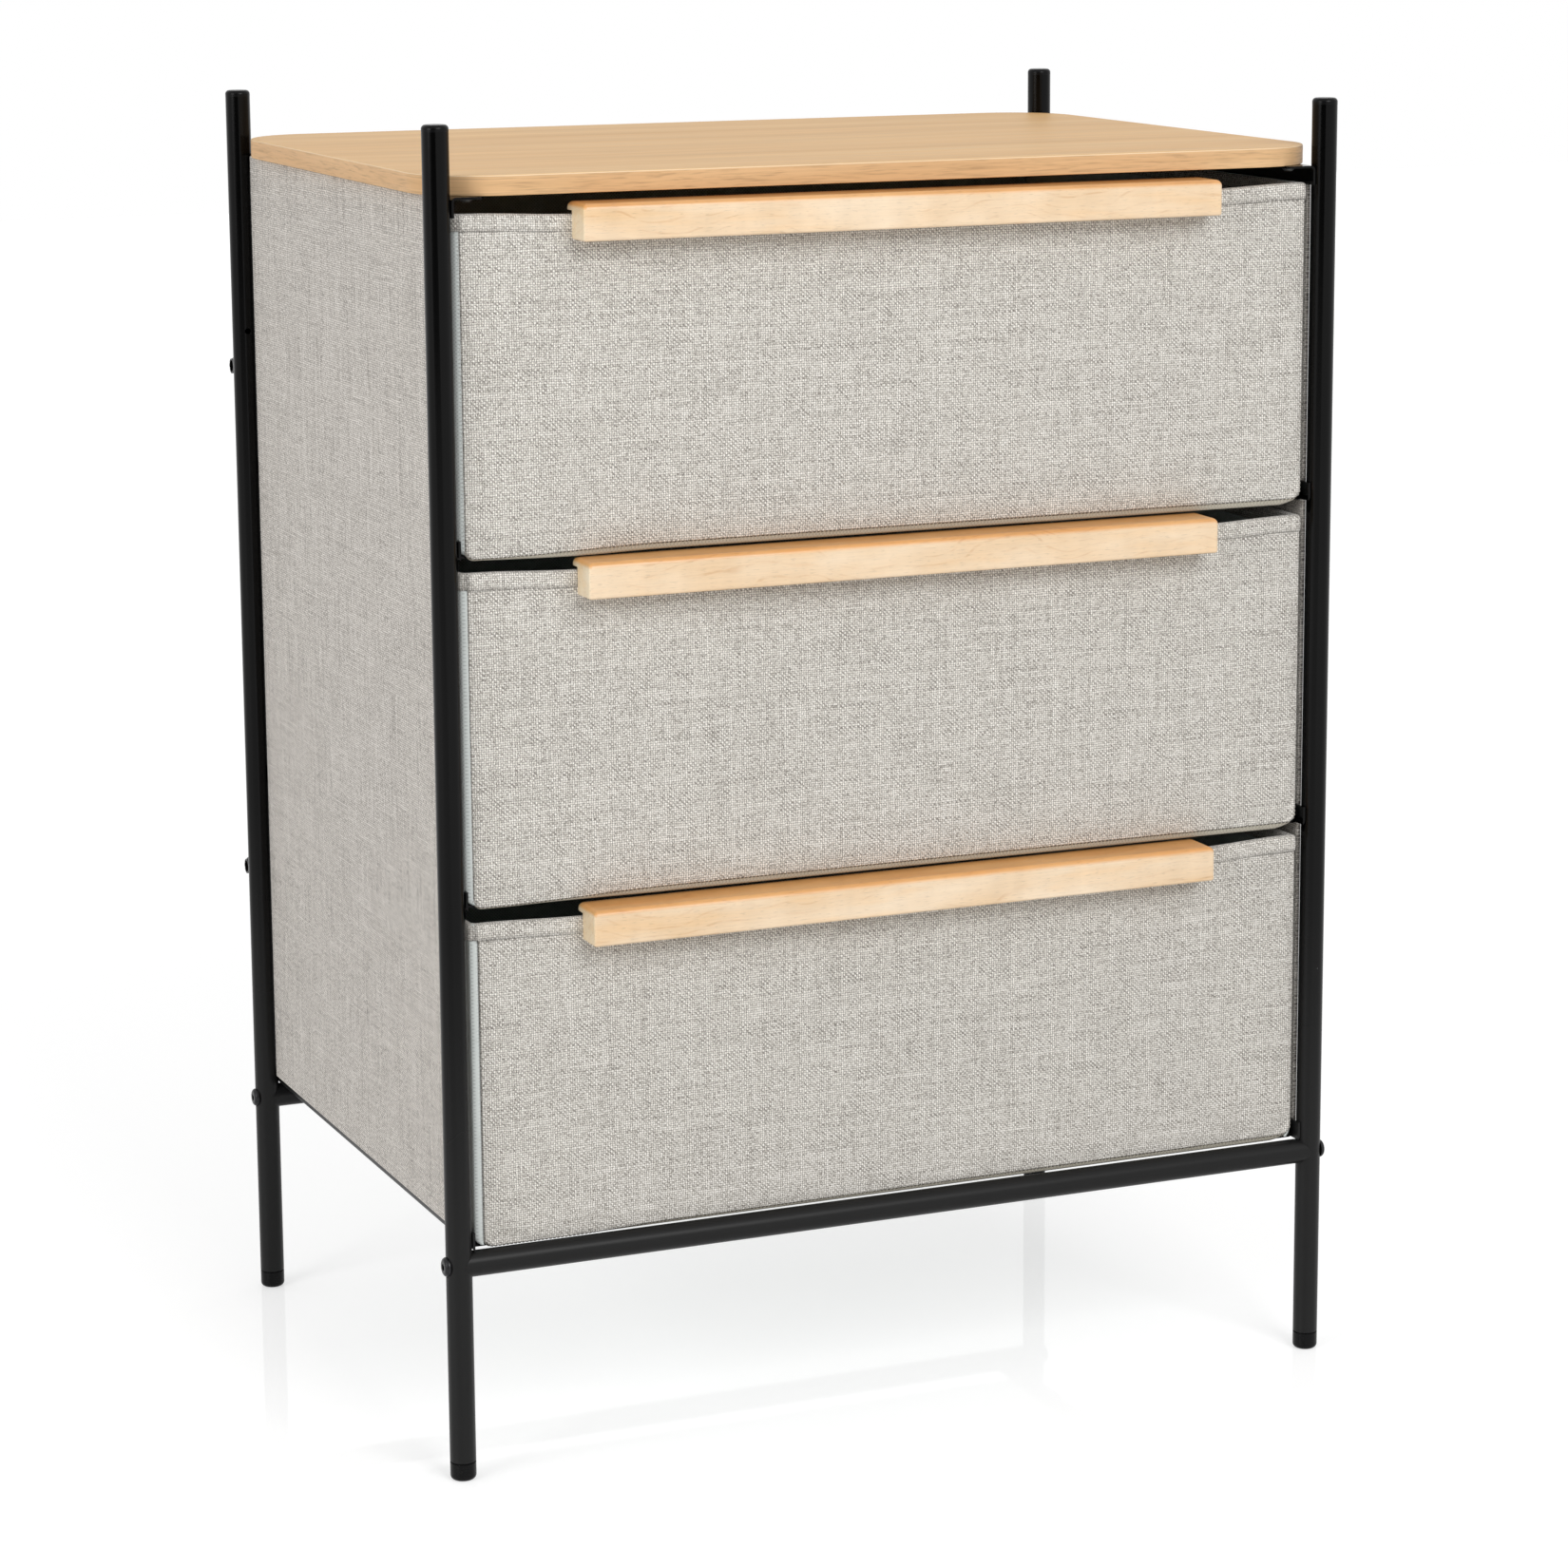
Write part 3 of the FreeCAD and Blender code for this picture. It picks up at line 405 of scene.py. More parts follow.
def cloth(name, patches, finishes, body):
    """A closed piece of cloth from patches (P, U, k): P[i, j] are points in mm, U[i, j] the
    cloth's own coordinates in mm, k the finish's number. Each cell is the quad P[i, j],
    P[i+1, j], P[i+1, j+1], P[i, j+1]. If the volume sum(a . (b x c))/6 over its triangles
    is negative, the faces are turned outwards."""
    points, faces, ways, kinds, first = [], [], [], [], 0
    for P, U, k in patches:
        n, m = P.shape[:2]
        at = first + np.arange(n * m).reshape(n, m)
        quads = np.stack([at[:-1, :-1], at[1:, :-1], at[1:, 1:], at[:-1, 1:]], -1)
        points.append(P.reshape(-1, 3) * MM)
        ways.append(U.reshape(-1, 2) * MM)
        faces.append(quads.reshape(-1, 4))
        kinds.append(np.full((n - 1) * (m - 1), k))
        first += n * m
    V, F, L, K = map(np.concatenate, (points, faces, ways, kinds))
    a, b, c, d = (V[F[:, q]] for q in range(4))
    if (a * (np.cross(b, c) + np.cross(c, d))).sum() < 0:
        F = F[:, ::-1]
    piece = placed(name, V, F, finishes, body)
    piece.data.uv_layers.new(name="cloth").data.foreach_set("uv", L[F].reshape(-1))
    piece.data.polygons.foreach_set("material_index", K.astype(np.int32))
    return piece


def steps(low, high, size, fine=(0.25, 0.7, 1.3, 2.1, 3.2, 4.8, 7.0)):
    """Places from low to high about size apart, crowded near both ends at fine."""
    near = np.array((0, *fine))
    inner = np.linspace(low + 10, high - 10, max(2, round((high - low - 20) / size) + 1))
    return np.concatenate([low + near, inner, (high - near)[::-1]])


def slab(p, q, thick, roll):
    """A padded board over the grid p x q: (P, Q, half its thickness) at each point. With d
    the distance to the nearest edge, half the thickness is
    thick/2 * sqrt(1 - (1 - min(d/roll, 1))^2), a rolled edge that closes at the middle."""
    d = np.minimum(
        np.minimum(p - p.min(), p.max() - p)[:, None],
        np.minimum(q - q.min(), q.max() - q)[None, :],
    )
    half = thick / 2 * np.sqrt(1 - (1 - np.minimum(d / roll, 1)) ** 2)
    return *np.meshgrid(p, q, indexing="ij"), half


def swell(p, q, power=(1, 1)):
    """sin(a)^power[0] * sin(b)^power[1] over the grid p x q, where a runs from 0 to pi along
    p and b along q, step by step: 0 all round the edge and 1 in the middle. Also a and b."""
    a, b = np.meshgrid(np.linspace(0, np.pi, len(p)), np.linspace(0, np.pi, len(q)), indexing="ij")
    return np.sin(a) ** power[0] * np.sin(b) ** power[1], a, b


def faced(outer, inner, own, lining=0):
    """The two patches of a flat piece, for cloth: its outer face in finish 0, and its inner
    face in the lining's, turned to look the other way. outer and inner: (x, y, z) in mm."""
    outer, inner = np.stack(outer, -1), np.stack(inner, -1)
    return [(outer, own, 0), (inner[:, ::-1], own[:, ::-1], lining)]


def drawn_over(part):
    """Hides that CAD part, in whose place cloth is drawn tight over a board."""
    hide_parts(part)


panel_linen = linen(
    "linen_panel_cloth", "#FCF6EE", "#DBD4CB", "#948E87", (0.1, 1.04), (0.28, 0.76), 0.15, 4.0
)
for side, sign in (("left", -1), ("right", 1)):
    low, high = box_mm(f"side_panel_{side}")
    y = steps(low[1] + 0.4, high[1] - 0.4, 12)
    z = steps(low[2], high[2] - 0.2, 12)
    Y, Z, half = slab(y, z, 3.4, 1.5)
    # Cloth drawn over a board: nearly flat, with a slack of 0.5 mm toward the middle.
    slack, a, b = swell(y, z)
    slack = slack * (0.35 + 0.12 * np.sin(3 * a + 1) * np.sin(2 * b))
    middle = (low[0] + high[0]) / 2
    own = np.stack([Y, Z], -1)
    faces = faced((middle + sign * (half + slack), Y, Z), (middle - sign * half, Y, Z), own)
    panel = cloth(f"panel_cover_{side}", faces, [panel_linen], "frame")
    drawn_over(f"side_panel_{side}")


# ---- Drawer boxes ------------------------------------------------------------------------
# Each drawer is a folding bin of spun-bonded cloth with stiff board in its walls and base.
# The cloth is pale blue-grey, pressed with a fine grid of bond points.
def bonded(name, dark, light):
    """Spun-bonded cloth between the two colours. With p = (u, v) turned by 45 degrees, a
    dimple lies where |fract(p / 1.6 mm) - (0.5, 0.5)| is under 0.36: round bond points on a
    diagonal grid, at twice the real spacing so that they show."""
    made, tree, shader = start(name)
    here = put(tree, "UVMap", uv_map="cloth")
    turned = put(tree, "Mapping", {0: here, 2: (0, 0, math.radians(45)), 3: (1 / 0.0016,) * 3})
    cell = put(tree, "VectorMath", {0: turned}, operation="FRACTION")
    middle = put(tree, "VectorMath", {0: cell, 1: (0.5, 0.5, 0.0)}, operation="DISTANCE")
    rim = {"Value": middle, "From Min": 0.16, "From Max": 0.36}
    dimple = put(tree, "MapRange", rim, interpolation_type="SMOOTHSTEP")
    fibre = put(tree, "TexNoise", {"Vector": here, "Scale": 900, "Detail": 4, "Distortion": 1.2})
    cloud = put(tree, "TexNoise", {"Vector": here, "Scale": 45, "Detail": 3})
    mixed = put(tree, "Math", {0: fibre, 1: 0.5}, operation="MULTIPLY")
    mixed = put(tree, "Math", {0: cloud, 1: 0.35, 2: mixed}, operation="MULTIPLY_ADD")
    mixed = put(tree, "Math", {0: dimple, 1: 0.42, 2: mixed}, operation="MULTIPLY_ADD")
    tone = put(tree, "ValToRGB", {0: mixed}, stops=((0.2, colour(dark)), (0.85, colour(light))))
    raised = put(tree, "Math", {0: fibre, 1: 0.4, 2: dimple}, operation="MULTIPLY_ADD")
    bump = put(tree, "Bump", {"Height": raised, "Strength": 0.5, "Distance": 0.12 * MM})
    feed(shader, {"Base Color": tone, "Normal": bump, "Roughness": 0.78, "Sheen Weight": 0.1})
    return made


spunbond = bonded("spunbond_polypropylene", "#ABB0AD", "#D8DDDA")

LEVELS = ("bottom", "middle", "top")
HALF = 278.0  # half the width of a drawer's front
# How far the soft side walls stand out past the drawer's nominal width, left and right,
# within what depth they turn out, and how far the front's linen reaches past it.
BELLY = {"bottom": (3.4, 3.0), "middle": (4.8, 3.4), "top": (5.0, 3.2)}
TURN = {"bottom": 2.4, "middle": 3.2, "top": 6.0}
REACH = {"bottom": (-1.7, 2.6), "middle": (0.8, 2.6), "top": (1.5, 2.6)}


def smooth(t):
    """3t^2 - 2t^3 between 0 and 1."""
    t = np.clip(t, 0, 1)
    return t * t * (3 - 2 * t)


def belly(level, end, y, first, last):
    """How far a side wall stands out at depth y; end is 0 on the left and 1 on the right.
    With t = (y - first)/TURN held in 0..1 it is BELLY sqrt(1 - (1 - t)^2) s((last - y)/25),
    a round corner that fades out at the rear; s is the smooth step."""
    t = np.clip((y - first) / TURN[level], 0, 1)
    return BELLY[level][end] * np.sqrt(1 - (1 - t) ** 2) * smooth((last - y) / 25)


def reach(level, x):
    """x drawn out to the linen's ends: by REACH at -278 and 278 mm, and not at all between
    -218 and 218 mm."""
    left, right = REACH[level]
    return x - left * smooth((-x - 218) / 60) + right * smooth((x - 218) / 60)


for level in LEVELS:
    body = f"{level}_drawer"
    for end, (side, sign) in enumerate((("left", -1), ("right", 1))):
        low, high = box_mm(f"drawer_{level}_wall_{side}")
        # The wall starts at the front's seam and turns round the corner, out by BELLY; it
        # comes back at the rear, and over the last 6 mm above the base.
        first = low[1] - 4.2
        front_turn = (0, 0.08, 0.25, 0.55, 1.0, 1.6, 2.4, 3.4, 4.6, 6.0, 8.0, 12.0, 17.0)
        rear_turn = (22, 17, 12, 8, 5, 3, 1.5, 0.7, 0)
        run = np.linspace(low[1] + 20, high[1] - 28, 26)
        y = np.concatenate([first + np.array(front_turn), run, high[1] - np.array(rear_turn)])
        z = steps(low[2] + 0.2, high[2] - 0.6, 10)
        Y, Z, half = slab(y, z, 3.0, 1.5)
        bow = belly(level, end, Y, first, y[-1]) * smooth((Z - low[2] + 1.5) / 6)
        middle = (low[0] + high[0]) / 2
        own = np.stack([Y, Z], -1)
        faces = faced((middle + sign * (half + bow), Y, Z), (middle + sign * (bow - half), Y, Z), own)
        wall = cloth(f"{level}_wall_{side}", faces, [spunbond], body)
        ends = ((y[0], z[0]), (y[-1], z[-1]))
        drawn_over(f"drawer_{level}_wall_{side}")
    # The back bows inwards by 0.9 mm between its edges.
    low, high = box_mm(f"drawer_{level}_back")
    x = steps(low[0], high[0], 12)
    z = steps(low[2] + 0.2, high[2] - 0.6, 10)
    X, Z, half = slab(x, z, 3.0, 1.5)
    bow = -0.9 * swell(x, z, (0.5, 0.7))[0]
    middle = (low[1] + high[1]) / 2
    own = np.stack([X, Z], -1)
    faces = faced((X, middle - half + bow, Z), (X, middle + half + bow, Z), own)
    rear = cloth(f"{level}_wall_rear", faces, [spunbond], body)
    ends = ((x[0], z[0]), (x[-1], z[-1]))
    drawn_over(f"drawer_{level}_back")
    # The base board sags by 1.5 mm between the two ledges that carry it.
    low, high = box_mm(f"drawer_{level}_base")
    x = steps(low[0], high[0], 12)
    y = steps(low[1], high[1], 12)
    X, Y, half = slab(x, y, 4.0, 2.0)
    sag = 1.5 * smooth((263.5 - np.abs(x)) / 24)
    middle = (low[2] + high[2]) / 2 - sag[:, None]
    faces = faced((X, Y, middle + half), (X, Y, middle - half), np.stack([X, Y], -1))
    base = cloth(f"{level}_base_cover", faces, [spunbond], body)
    drawn_over(f"drawer_{level}_base")

# ---- Drawer fronts -----------------------------------------------------------------------
# A stiff board between a thin wadding with heathered linen outside and the bin's cloth
# inside, sewn together round the edge. Its lower corners are round.
front_linen = linen(
    "linen_front_cloth", "#FDF9F2", "#DAD5CC", "#88827B", (0.41, 0.87), (0.25, 0.73), 0.04, 0.0
)
CORNER = 6.5  # the lower corners' radius
# How far each front hangs off its nominal height, at its left and its right end: the cloth
# bins are sewn by hand, and the lowest one leans.
HANG = {"bottom": (-1.6, 0.6), "middle": (-0.7, -1.5), "top": (-1.1, -1.7)}


def hang(level, x):
    """Height offset of a front at x, straight between the values at its two ends."""
    left, right = HANG[level]
    return left + (right - left) * (x + HALF) / (2 * HALF)


def hem_line(level, x):
    """Lower edge of a front's linen at x: 1.3 mm over its hang, less a dip of 2.4 mm that
    comes in toward the left end, and clear of the rail that the bottom drawer slides over."""
    floor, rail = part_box(f"drawer_{level}_base")[0][2] / MM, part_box("rail_front")[1][2] / MM
    line = floor + hang(level, x) + 1.3 - 2.4 * smooth((-150 - x) / 110)
    return np.maximum(line, rail + 0.3)


def points_of(mesh):
    """The mesh's points as an (n, 3) array in metres."""
    co = np.empty(len(mesh.vertices) * 3)
    mesh.vertices.foreach_get("co", co)
    return co.reshape(-1, 3)


def fill_out(piece, loose, seed, cap):
    """Fills the padding by a cloth simulation: the points with weight loose swell under a
    pressure of 4, the others stay pinned. The move w of each point is capped softly to
    cap * tanh(|w| / cap), and the result is written to the mesh."""
    mesh, frames = piece.data, 20
    rest = points_of(mesh)
    noise = np.random.default_rng(seed).normal(0, 0.02 * MM, rest.shape)
    mesh.vertices.foreach_set("co", (rest + noise * loose[:, None]).ravel())
    group = piece.vertex_groups.new(name="pinned")
    for weight in (0.0, 1.0):
        group.add(np.flatnonzero((loose < 0.5) == bool(weight)).tolist(), weight, "REPLACE")
    sim = piece.modifiers.new("fill", "CLOTH")
    sim.settings.quality = 6
    sim.settings.mass = 0.2
    sim.settings.tension_stiffness = sim.settings.compression_stiffness = 20
    sim.settings.shear_stiffness, sim.settings.bending_stiffness = 12, 4
    sim.settings.use_pressure, sim.settings.uniform_pressure_force = True, 4
    sim.settings.vertex_group_mass = "pinned"
    sim.settings.shrink_min = -0.004
    sim.settings.effector_weights.gravity = 0
    sim.collision_settings.use_collision = False
    sim.point_cache.frame_start, sim.point_cache.frame_end = 1, frames
    scene = bpy.context.scene
    for step in range(1, frames + 1):
        scene.frame_set(step)
    done = piece.evaluated_get(bpy.context.evaluated_depsgraph_get()).to_mesh()
    move = points_of(done) - rest
    far = np.linalg.norm(move, axis=1, keepdims=True)
    move = move * (cap * np.tanh(far / cap) / np.maximum(far, 1e-9))
    mesh.vertices.foreach_set("co", (rest + move * loose[:, None]).ravel())
    piece.modifiers.remove(sim)
    piece.vertex_groups.remove(group)
    scene.frame_set(1)


for number, level in enumerate(LEVELS):
    low, high = box_mm(f"drawer_{level}_front")
    # The grid is made over a level hem at low[2] first, and then drawn to the real one.
    hem = low[2]
    rows = np.array((0, 0.1, 0.35, 0.75, 1.3, 2.1, 3.1, 4.3, 5.5, 6.5, 9.0, 11.5))
    upper_rows = np.array((3.5, 2, 1))
    z = np.concatenate([hem + rows, np.linspace(hem + 15, high[2] - 6, 38), high[2] - upper_rows])
    span = steps(-HALF, HALF, 5) / HALF
    # Half the width at height h over the hem: HALF - R + sqrt(R^2 - (R - h)^2) in the corner.
    h = np.minimum(z - hem, CORNER)
    wide = HALF - CORNER + np.sqrt(CORNER**2 - (CORNER - h) ** 2)
    X, Z = span[:, None] * wide[None, :], np.broadcast_to(z, (len(span), len(z)))
    # d: how far inside the outline a point is, round the corners too.
    p, q = np.abs(X) - (HALF - CORNER), hem + CORNER - Z
    d = np.where((p > 0) & (q > 0), CORNER - np.hypot(p, q), np.minimum(HALF - np.abs(X), Z - hem))
    d = np.clip(np.minimum(d, z[-1] - Z), 0, None)
    # The wadding rises 2.2 mm in front of the seam, and the board and lining lie 3 mm behind.
    outer = 2.2 * np.sqrt(1 - (1 - np.minimum(d / 2.2, 1)) ** 2)
    inner = 3.0 * np.sqrt(1 - (1 - np.minimum(d / 2.0, 1)) ** 2)
    seam = low[1] + 2.8
    # Each column is moved by its hang, and below 60 mm also drawn to the hem line.
    drop = hem_line(level, X) - hem - hang(level, X)
    Z = Z + hang(level, X) + drop * smooth((hem + 60 - Z) / 60)
    own = np.stack([X, Z], -1)
    X = reach(level, X)
    faces = faced((X, seam - outer, Z), (X, seam + inner, Z), own, 1)
    both = [front_linen, spunbond]
    front = cloth(f"{level}_front_pad", faces, both, f"{level}_drawer")
    loose = (points_of(front.data)[:, 1] / MM < seam - 1.9).astype(float)
    fill_out(front, loose, number, 0.9 * MM)
    # The pull is screwed through the front and presses the linen flat behind it.
    co = points_of(front.data) / MM
    under_pull = (np.abs(co[:, 0]) < 211) & (co[:, 2] > high[2] - 18.5)
    co[:, 1] = np.where(under_pull & (loose > 0), np.maximum(co[:, 1], low[1] + 0.1), co[:, 1])
    front.data.vertices.foreach_set("co", (co * MM).ravel())
    fine = front.modifiers.new("smooth", "SUBSURF")
    fine.levels = fine.render_levels = 1
    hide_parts(f"drawer_{level}_front")

# ---- Bottom bands ------------------------------------------------------------------------
# The bin's cloth is folded forward under the linen and sewn to it, so that a narrow pale
# edge shows along the bottom of each front and round its corners, deepest where it sags.
# The band's cloth is the walls' spunbond painted darker and warmer: painted shade in the narrow gap, warmed
# as by light thrown back from the pull below.
shaded_spunbond = bonded("spunbond_painted_shade", "#8B867B", "#B4AE9F")


def travelled(*axes):
    """The distance run along a line of points, from 0; axes: their coordinates."""
    steps_taken = np.sqrt(sum(np.diff(axis) ** 2 for axis in axes))
    return np.concatenate([[0], np.cumsum(steps_taken)])


def lower_edge(level, bend, begin, straight):
    """The way along a front's lower edge: down the left corner's arc from the angle begin,
    along the bottom, and up the right arc, as (x, z); bend points on each arc, straight on
    the bottom. With R = CORNER, on an arc x = +-(HALF - R + R cos t), z = hem + R - R sin t."""
    turn = np.linspace(begin, math.pi / 2, bend)
    bottom = np.linspace(-(HALF - CORNER), HALF - CORNER, straight)[1:-1]
    arc = HALF - CORNER + CORNER * np.cos(turn)
    up = CORNER - CORNER * np.sin(turn)
    x = np.concatenate([-arc, bottom, arc[::-1]])
    return x, hem_line(level, x) + np.concatenate([up, 0 * bottom, up[::-1]])


for level in LEVELS:
    low, high = box_mm(f"drawer_{level}_front")
    px, pz = lower_edge(level, 12, 0.12, 150)
    # It shows 3.6 mm deep from 150-190 mm left of the middle on, tapers off toward the left
    # end, and stays clear of the rail under the bottom drawer.
    left_end = {"bottom": -236, "middle": -244, "top": -278}[level]
    show = 0.9 + 2.7 * smooth((px - left_end) / 90) * smooth((276 - px) / 12)
    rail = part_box("rail_front")[1][2] / MM
    show = np.minimum(show, np.maximum(pz - rail - 0.15, 0.15))
    fade = np.clip(np.minimum(px + HALF, HALF - px) / 4, 0.25, 1)
    # Each section is an ellipse whose upper half is inside the front, set 2 mm back from the
    # linen's face, so that the part that shows looks down. (nx, nz) looks outwards.
    tall = (0.4 + show) * fade
    nx = np.clip((np.abs(px) - (HALF - CORNER)) / CORNER, 0, 1) * np.sign(px)
    nz = -np.sqrt(1 - nx**2)
    mx, mz = reach(level, px) + nx * 0.1, pz + 0.4
    q = np.linspace(0, 2 * np.pi, 17)
    wrap, up = np.cos(q)[None, :], np.sin(q)[None, :]
    P = np.stack(
        [
            mx[:, None] - nx[:, None] * tall[:, None] * up,
            low[1] + 4.0 + 1.9 * wrap + 0 * mx[:, None],
            mz[:, None] - nz[:, None] * tall[:, None] * up,
        ],
        -1,
    )
    P[0], P[-1] = P[0].mean(0), P[-1].mean(0)
    along = travelled(px, pz)
    U = np.stack(np.broadcast_arrays(along[:, None], q[None, :] * 2.2), -1)
    band = cloth(f"{level}_bottom_band", [(P, U, 0)], [shaded_spunbond], f"{level}_drawer")

# ---- Rim tape ----------------------------------------------------------------------------
# A tape of the front's linen is folded over the drawer's rim and sewn through, 10.6 mm
# down on both sides. Its upper edge is a little uneven, as a hand-fed hem is.
TAPE = 10.6


def rounded(x0, x1, y0, y1, R, sides, bend):
    """A closed rounded rectangle as (n, 2) points, anticlockwise from the front left: four
    straight runs of those numbers of points, and four arcs of bend points between them."""
    centres = [(x0 + R, y0 + R), (x1 - R, y0 + R), (x1 - R, y1 - R), (x0 + R, y1 - R)]
    runs = []
    for k, n in enumerate(sides * 2):
        here, there = np.array(centres[k]), np.array(centres[(k + 1) % 4])
        turn = (k - 1 + np.linspace(0, 1, bend + 2)[:, None]) * np.pi / 2
        arc = R * np.concatenate([np.cos(turn), np.sin(turn)], 1)
        runs += [here + arc[0] + np.linspace(0, 1, n)[:, None] * (there - here), there + arc[1:-1]]
    return np.concatenate([*runs, runs[0][:1]])


def lofted(outer, inner, part, height):
    """The points outer (1 - part) + inner part between the two loops, at those heights."""
    flat = outer[:, None, :] * (1 - part[..., None]) + inner[:, None, :] * part[..., None]
    return np.concatenate([flat, height[..., None]], -1)


def stitch(name, at, way, out, length, thick, finish, body, slot):
    """A row of thread stitches: at each point of at a round bead of that length along way,
    thick wide, of which half is sunk in the cloth under out. One bead is a 6 x 7 grid:
    P[s, i, j] = at + way * length/2 * t + taper * thick/2 * (side cos q + out sin q),
    where t runs from -1 to 1, q once round, taper = sqrt(1 - t^4) and side = way x out."""
    t = np.linspace(-1, 1, 6)
    q = np.linspace(0, 2 * np.pi, 7)
    side = np.cross(way, out)
    taper = np.sqrt(np.maximum(1 - t**4, 0))
    ring = side[:, None, None, :] * np.cos(q)[None, None, :, None]
    ring = ring + out[:, None, None, :] * np.sin(q)[None, None, :, None]
    P = at[:, None, None, :] + way[:, None, None, :] * (length / 2 * t)[None, :, None, None]
    P = P + (thick / 2 * taper)[None, :, None, None] * ring
    n = len(at)
    k = np.arange(n * 6 * 7).reshape(n, 6, 7)
    quads = np.stack([k[:, :-1, :-1], k[:, 1:, :-1], k[:, 1:, 1:], k[:, :-1, 1:]], -1)
    piece = placed(name, P.reshape(-1, 3) * MM, quads.reshape(-1, 4), [finish], body)
    # A quad at a bead's tip has two corners in one point, and becomes a triangle.
    piece.data.validate()
    return piece


def thread(name, light, dark):
    """Spun polyester thread between the two colours: two plies, matt, whose twist is a wave
    along the diagonal (1, 1, 1), drawn coarser than the real one so that it shows."""
    made, tree, shader = start(name)
    place = put(tree, "TexCoord").outputs["Object"]
    twist = {"Vector": place, "Scale": 900, "Distortion": 1.0}
    twist = put(tree, "TexWave", twist, bands_direction="DIAGONAL").outputs["Fac"]
    tone = put(tree, "Mix", {0: twist, 6: colour(dark), 7: colour(light)}, data_type="RGBA")
    feed(shader, {"Base Color": tone, "Roughness": 0.7})
    return made


seam_thread = thread("polyester_thread_grey", "#B2AEA7", "#928E87")
# The dark brown thread is painted shade: it stands for the shade in the fold along the bottom.
shaded_thread = thread("polyester_thread_painted_shade", "#4E453C", "#352E27")
hem_thread = thread("polyester_thread_pale", "#C9C4BD", "#A39E97")

for level in LEVELS:
    low, high = box_mm(f"drawer_{level}_front")
    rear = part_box(f"drawer_{level}_back")[1][1] / MM
    rim = high[2]
    sides = (140, 100)
    outer = rounded(-278.6, 278.6, low[1] - 0.55, rear + 0.6, 3.4, sides, 6)
    inner = rounded(-274.4, 274.4, low[1] + 6.7, rear - 3.7, 1.0, sides, 6)
    # The rim follows the front's ends, and then the side walls, which belly out behind it.
    for loop in (outer, inner):
        x, y = loop[:, 0], loop[:, 1]
        back_off = smooth((rear - y) / 25)
        ends = [
            np.maximum(belly(level, k, y, low[1] + 1.6, rear), REACH[level][k] * back_off)
            for k in (0, 1)
        ]
        loop[:, 0] += np.sign(x) * np.where(x < 0, *ends) * smooth((np.abs(x) - 262) / 12)
    x, y = outer[:, 0], outer[:, 1]
    at_front = y < low[1] + 2.5
    # Behind the pull the tape is pressed back to the front's face.
    pressed = at_front * smooth((214 - np.abs(x)) / 5)
    outer = outer + np.stack([0 * x, 0.65 * pressed], -1)
    # Rim height: up 1.3 mm at the front corners, down 1 mm toward the pull, and a slow
    # unevenness of 0.25 mm along the sides, with the front's hang dying out over 300 mm.
    away = np.clip(np.abs(x) - 208, 0, 70) / 70
    along_sides = 0.2 + 1.1 * np.exp(-(y - low[1]) / 35) + 0.25 * np.sin(y / 31 + x / 47)
    lift = np.where(at_front, -1.0 + 2.3 * smooth(away), along_sides)
    lift = lift + hang(level, x) * np.clip(1 - (y - low[1]) / 300, 0, 1)
    # The section: up the outside, over the rim in a half ellipse, and down the inside.
    turn = np.linspace(0, np.pi, 9)
    leg = np.array((1, 0.7, 0.4)) * TAPE
    across = np.concatenate([[0, -0.05, -0.02], (1 - np.cos(turn)) / 2, [1.02, 1.05, 1.0]])
    rise = np.concatenate([-leg, 1.6 * np.sin(turn) - 2.0, -leg[::-1]])
    height = rim + lift[:, None] + 0.4
    P = lofted(outer, inner, across[None, :], height + rise)
    # A tape 0.8 mm thick: the same section again, set in by that much, closes it.
    depth = np.concatenate([[0.8, 0.8, 0.8], 0.8 * np.abs(np.cos(turn)), [0.8, 0.8, 0.8]])
    gap = np.linalg.norm(outer - inner, axis=1)[:, None]
    inset = across[None, :] + np.where(across <= 0.5, 1, -1) * depth / gap
    drop = np.concatenate([[0, 0, 0], 0.8 * np.sin(turn), [0, 0, 0]])
    Q = lofted(outer, inner, inset, height + (rise - drop))
    along, deep = travelled(*outer.T), travelled(across * 5, rise)
    # The tape is cut from the front's cloth, so its yarns run on from the front's.
    U = np.stack(np.broadcast_arrays(along[:, None] + 40, deep[None, :] + rim), -1)
    loop = np.concatenate([P, Q[:, ::-1], P[:, :1]], 1)
    own = np.concatenate([U, U[:, ::-1], U[:, :1]], 1)
    tape = cloth(f"{level}_rim_tape", [(loop, own, 0)], [front_linen], f"{level}_drawer")
    # Lockstitches 2.7 mm long at 3.6 mm, 1.2 mm above the tape's lower edge, but none
    # behind the pull.
    n = int(along[-1] // 3.6)
    s = (np.arange(n) + 0.5) * along[-1] / n
    at = np.stack([np.interp(s, along, outer[:, 0]), np.interp(s, along, outer[:, 1])], -1)
    way = np.stack([np.interp(s + 1, along, outer[:, 0]), np.interp(s + 1, along, outer[:, 1])], -1) - at
    way = np.c_[way / np.maximum(np.linalg.norm(way, axis=1, keepdims=True), 1e-9), np.zeros(n)]
    out = np.cross(way, (0, 0, 1.0))
    keep = ~((np.abs(at[:, 0]) < 212) & (at[:, 1] < low[1] + 2.5))
    at = np.c_[at, rim + 0.4 + np.interp(s, along, lift) - TAPE + 1.2] + out * 0.02
    beads = (at[keep], way[keep], out[keep], 2.7, 0.5, hem_thread)
    seams = stitch(f"{level}_rim_stitches", *beads, f"{level}_drawer", "front_linen")
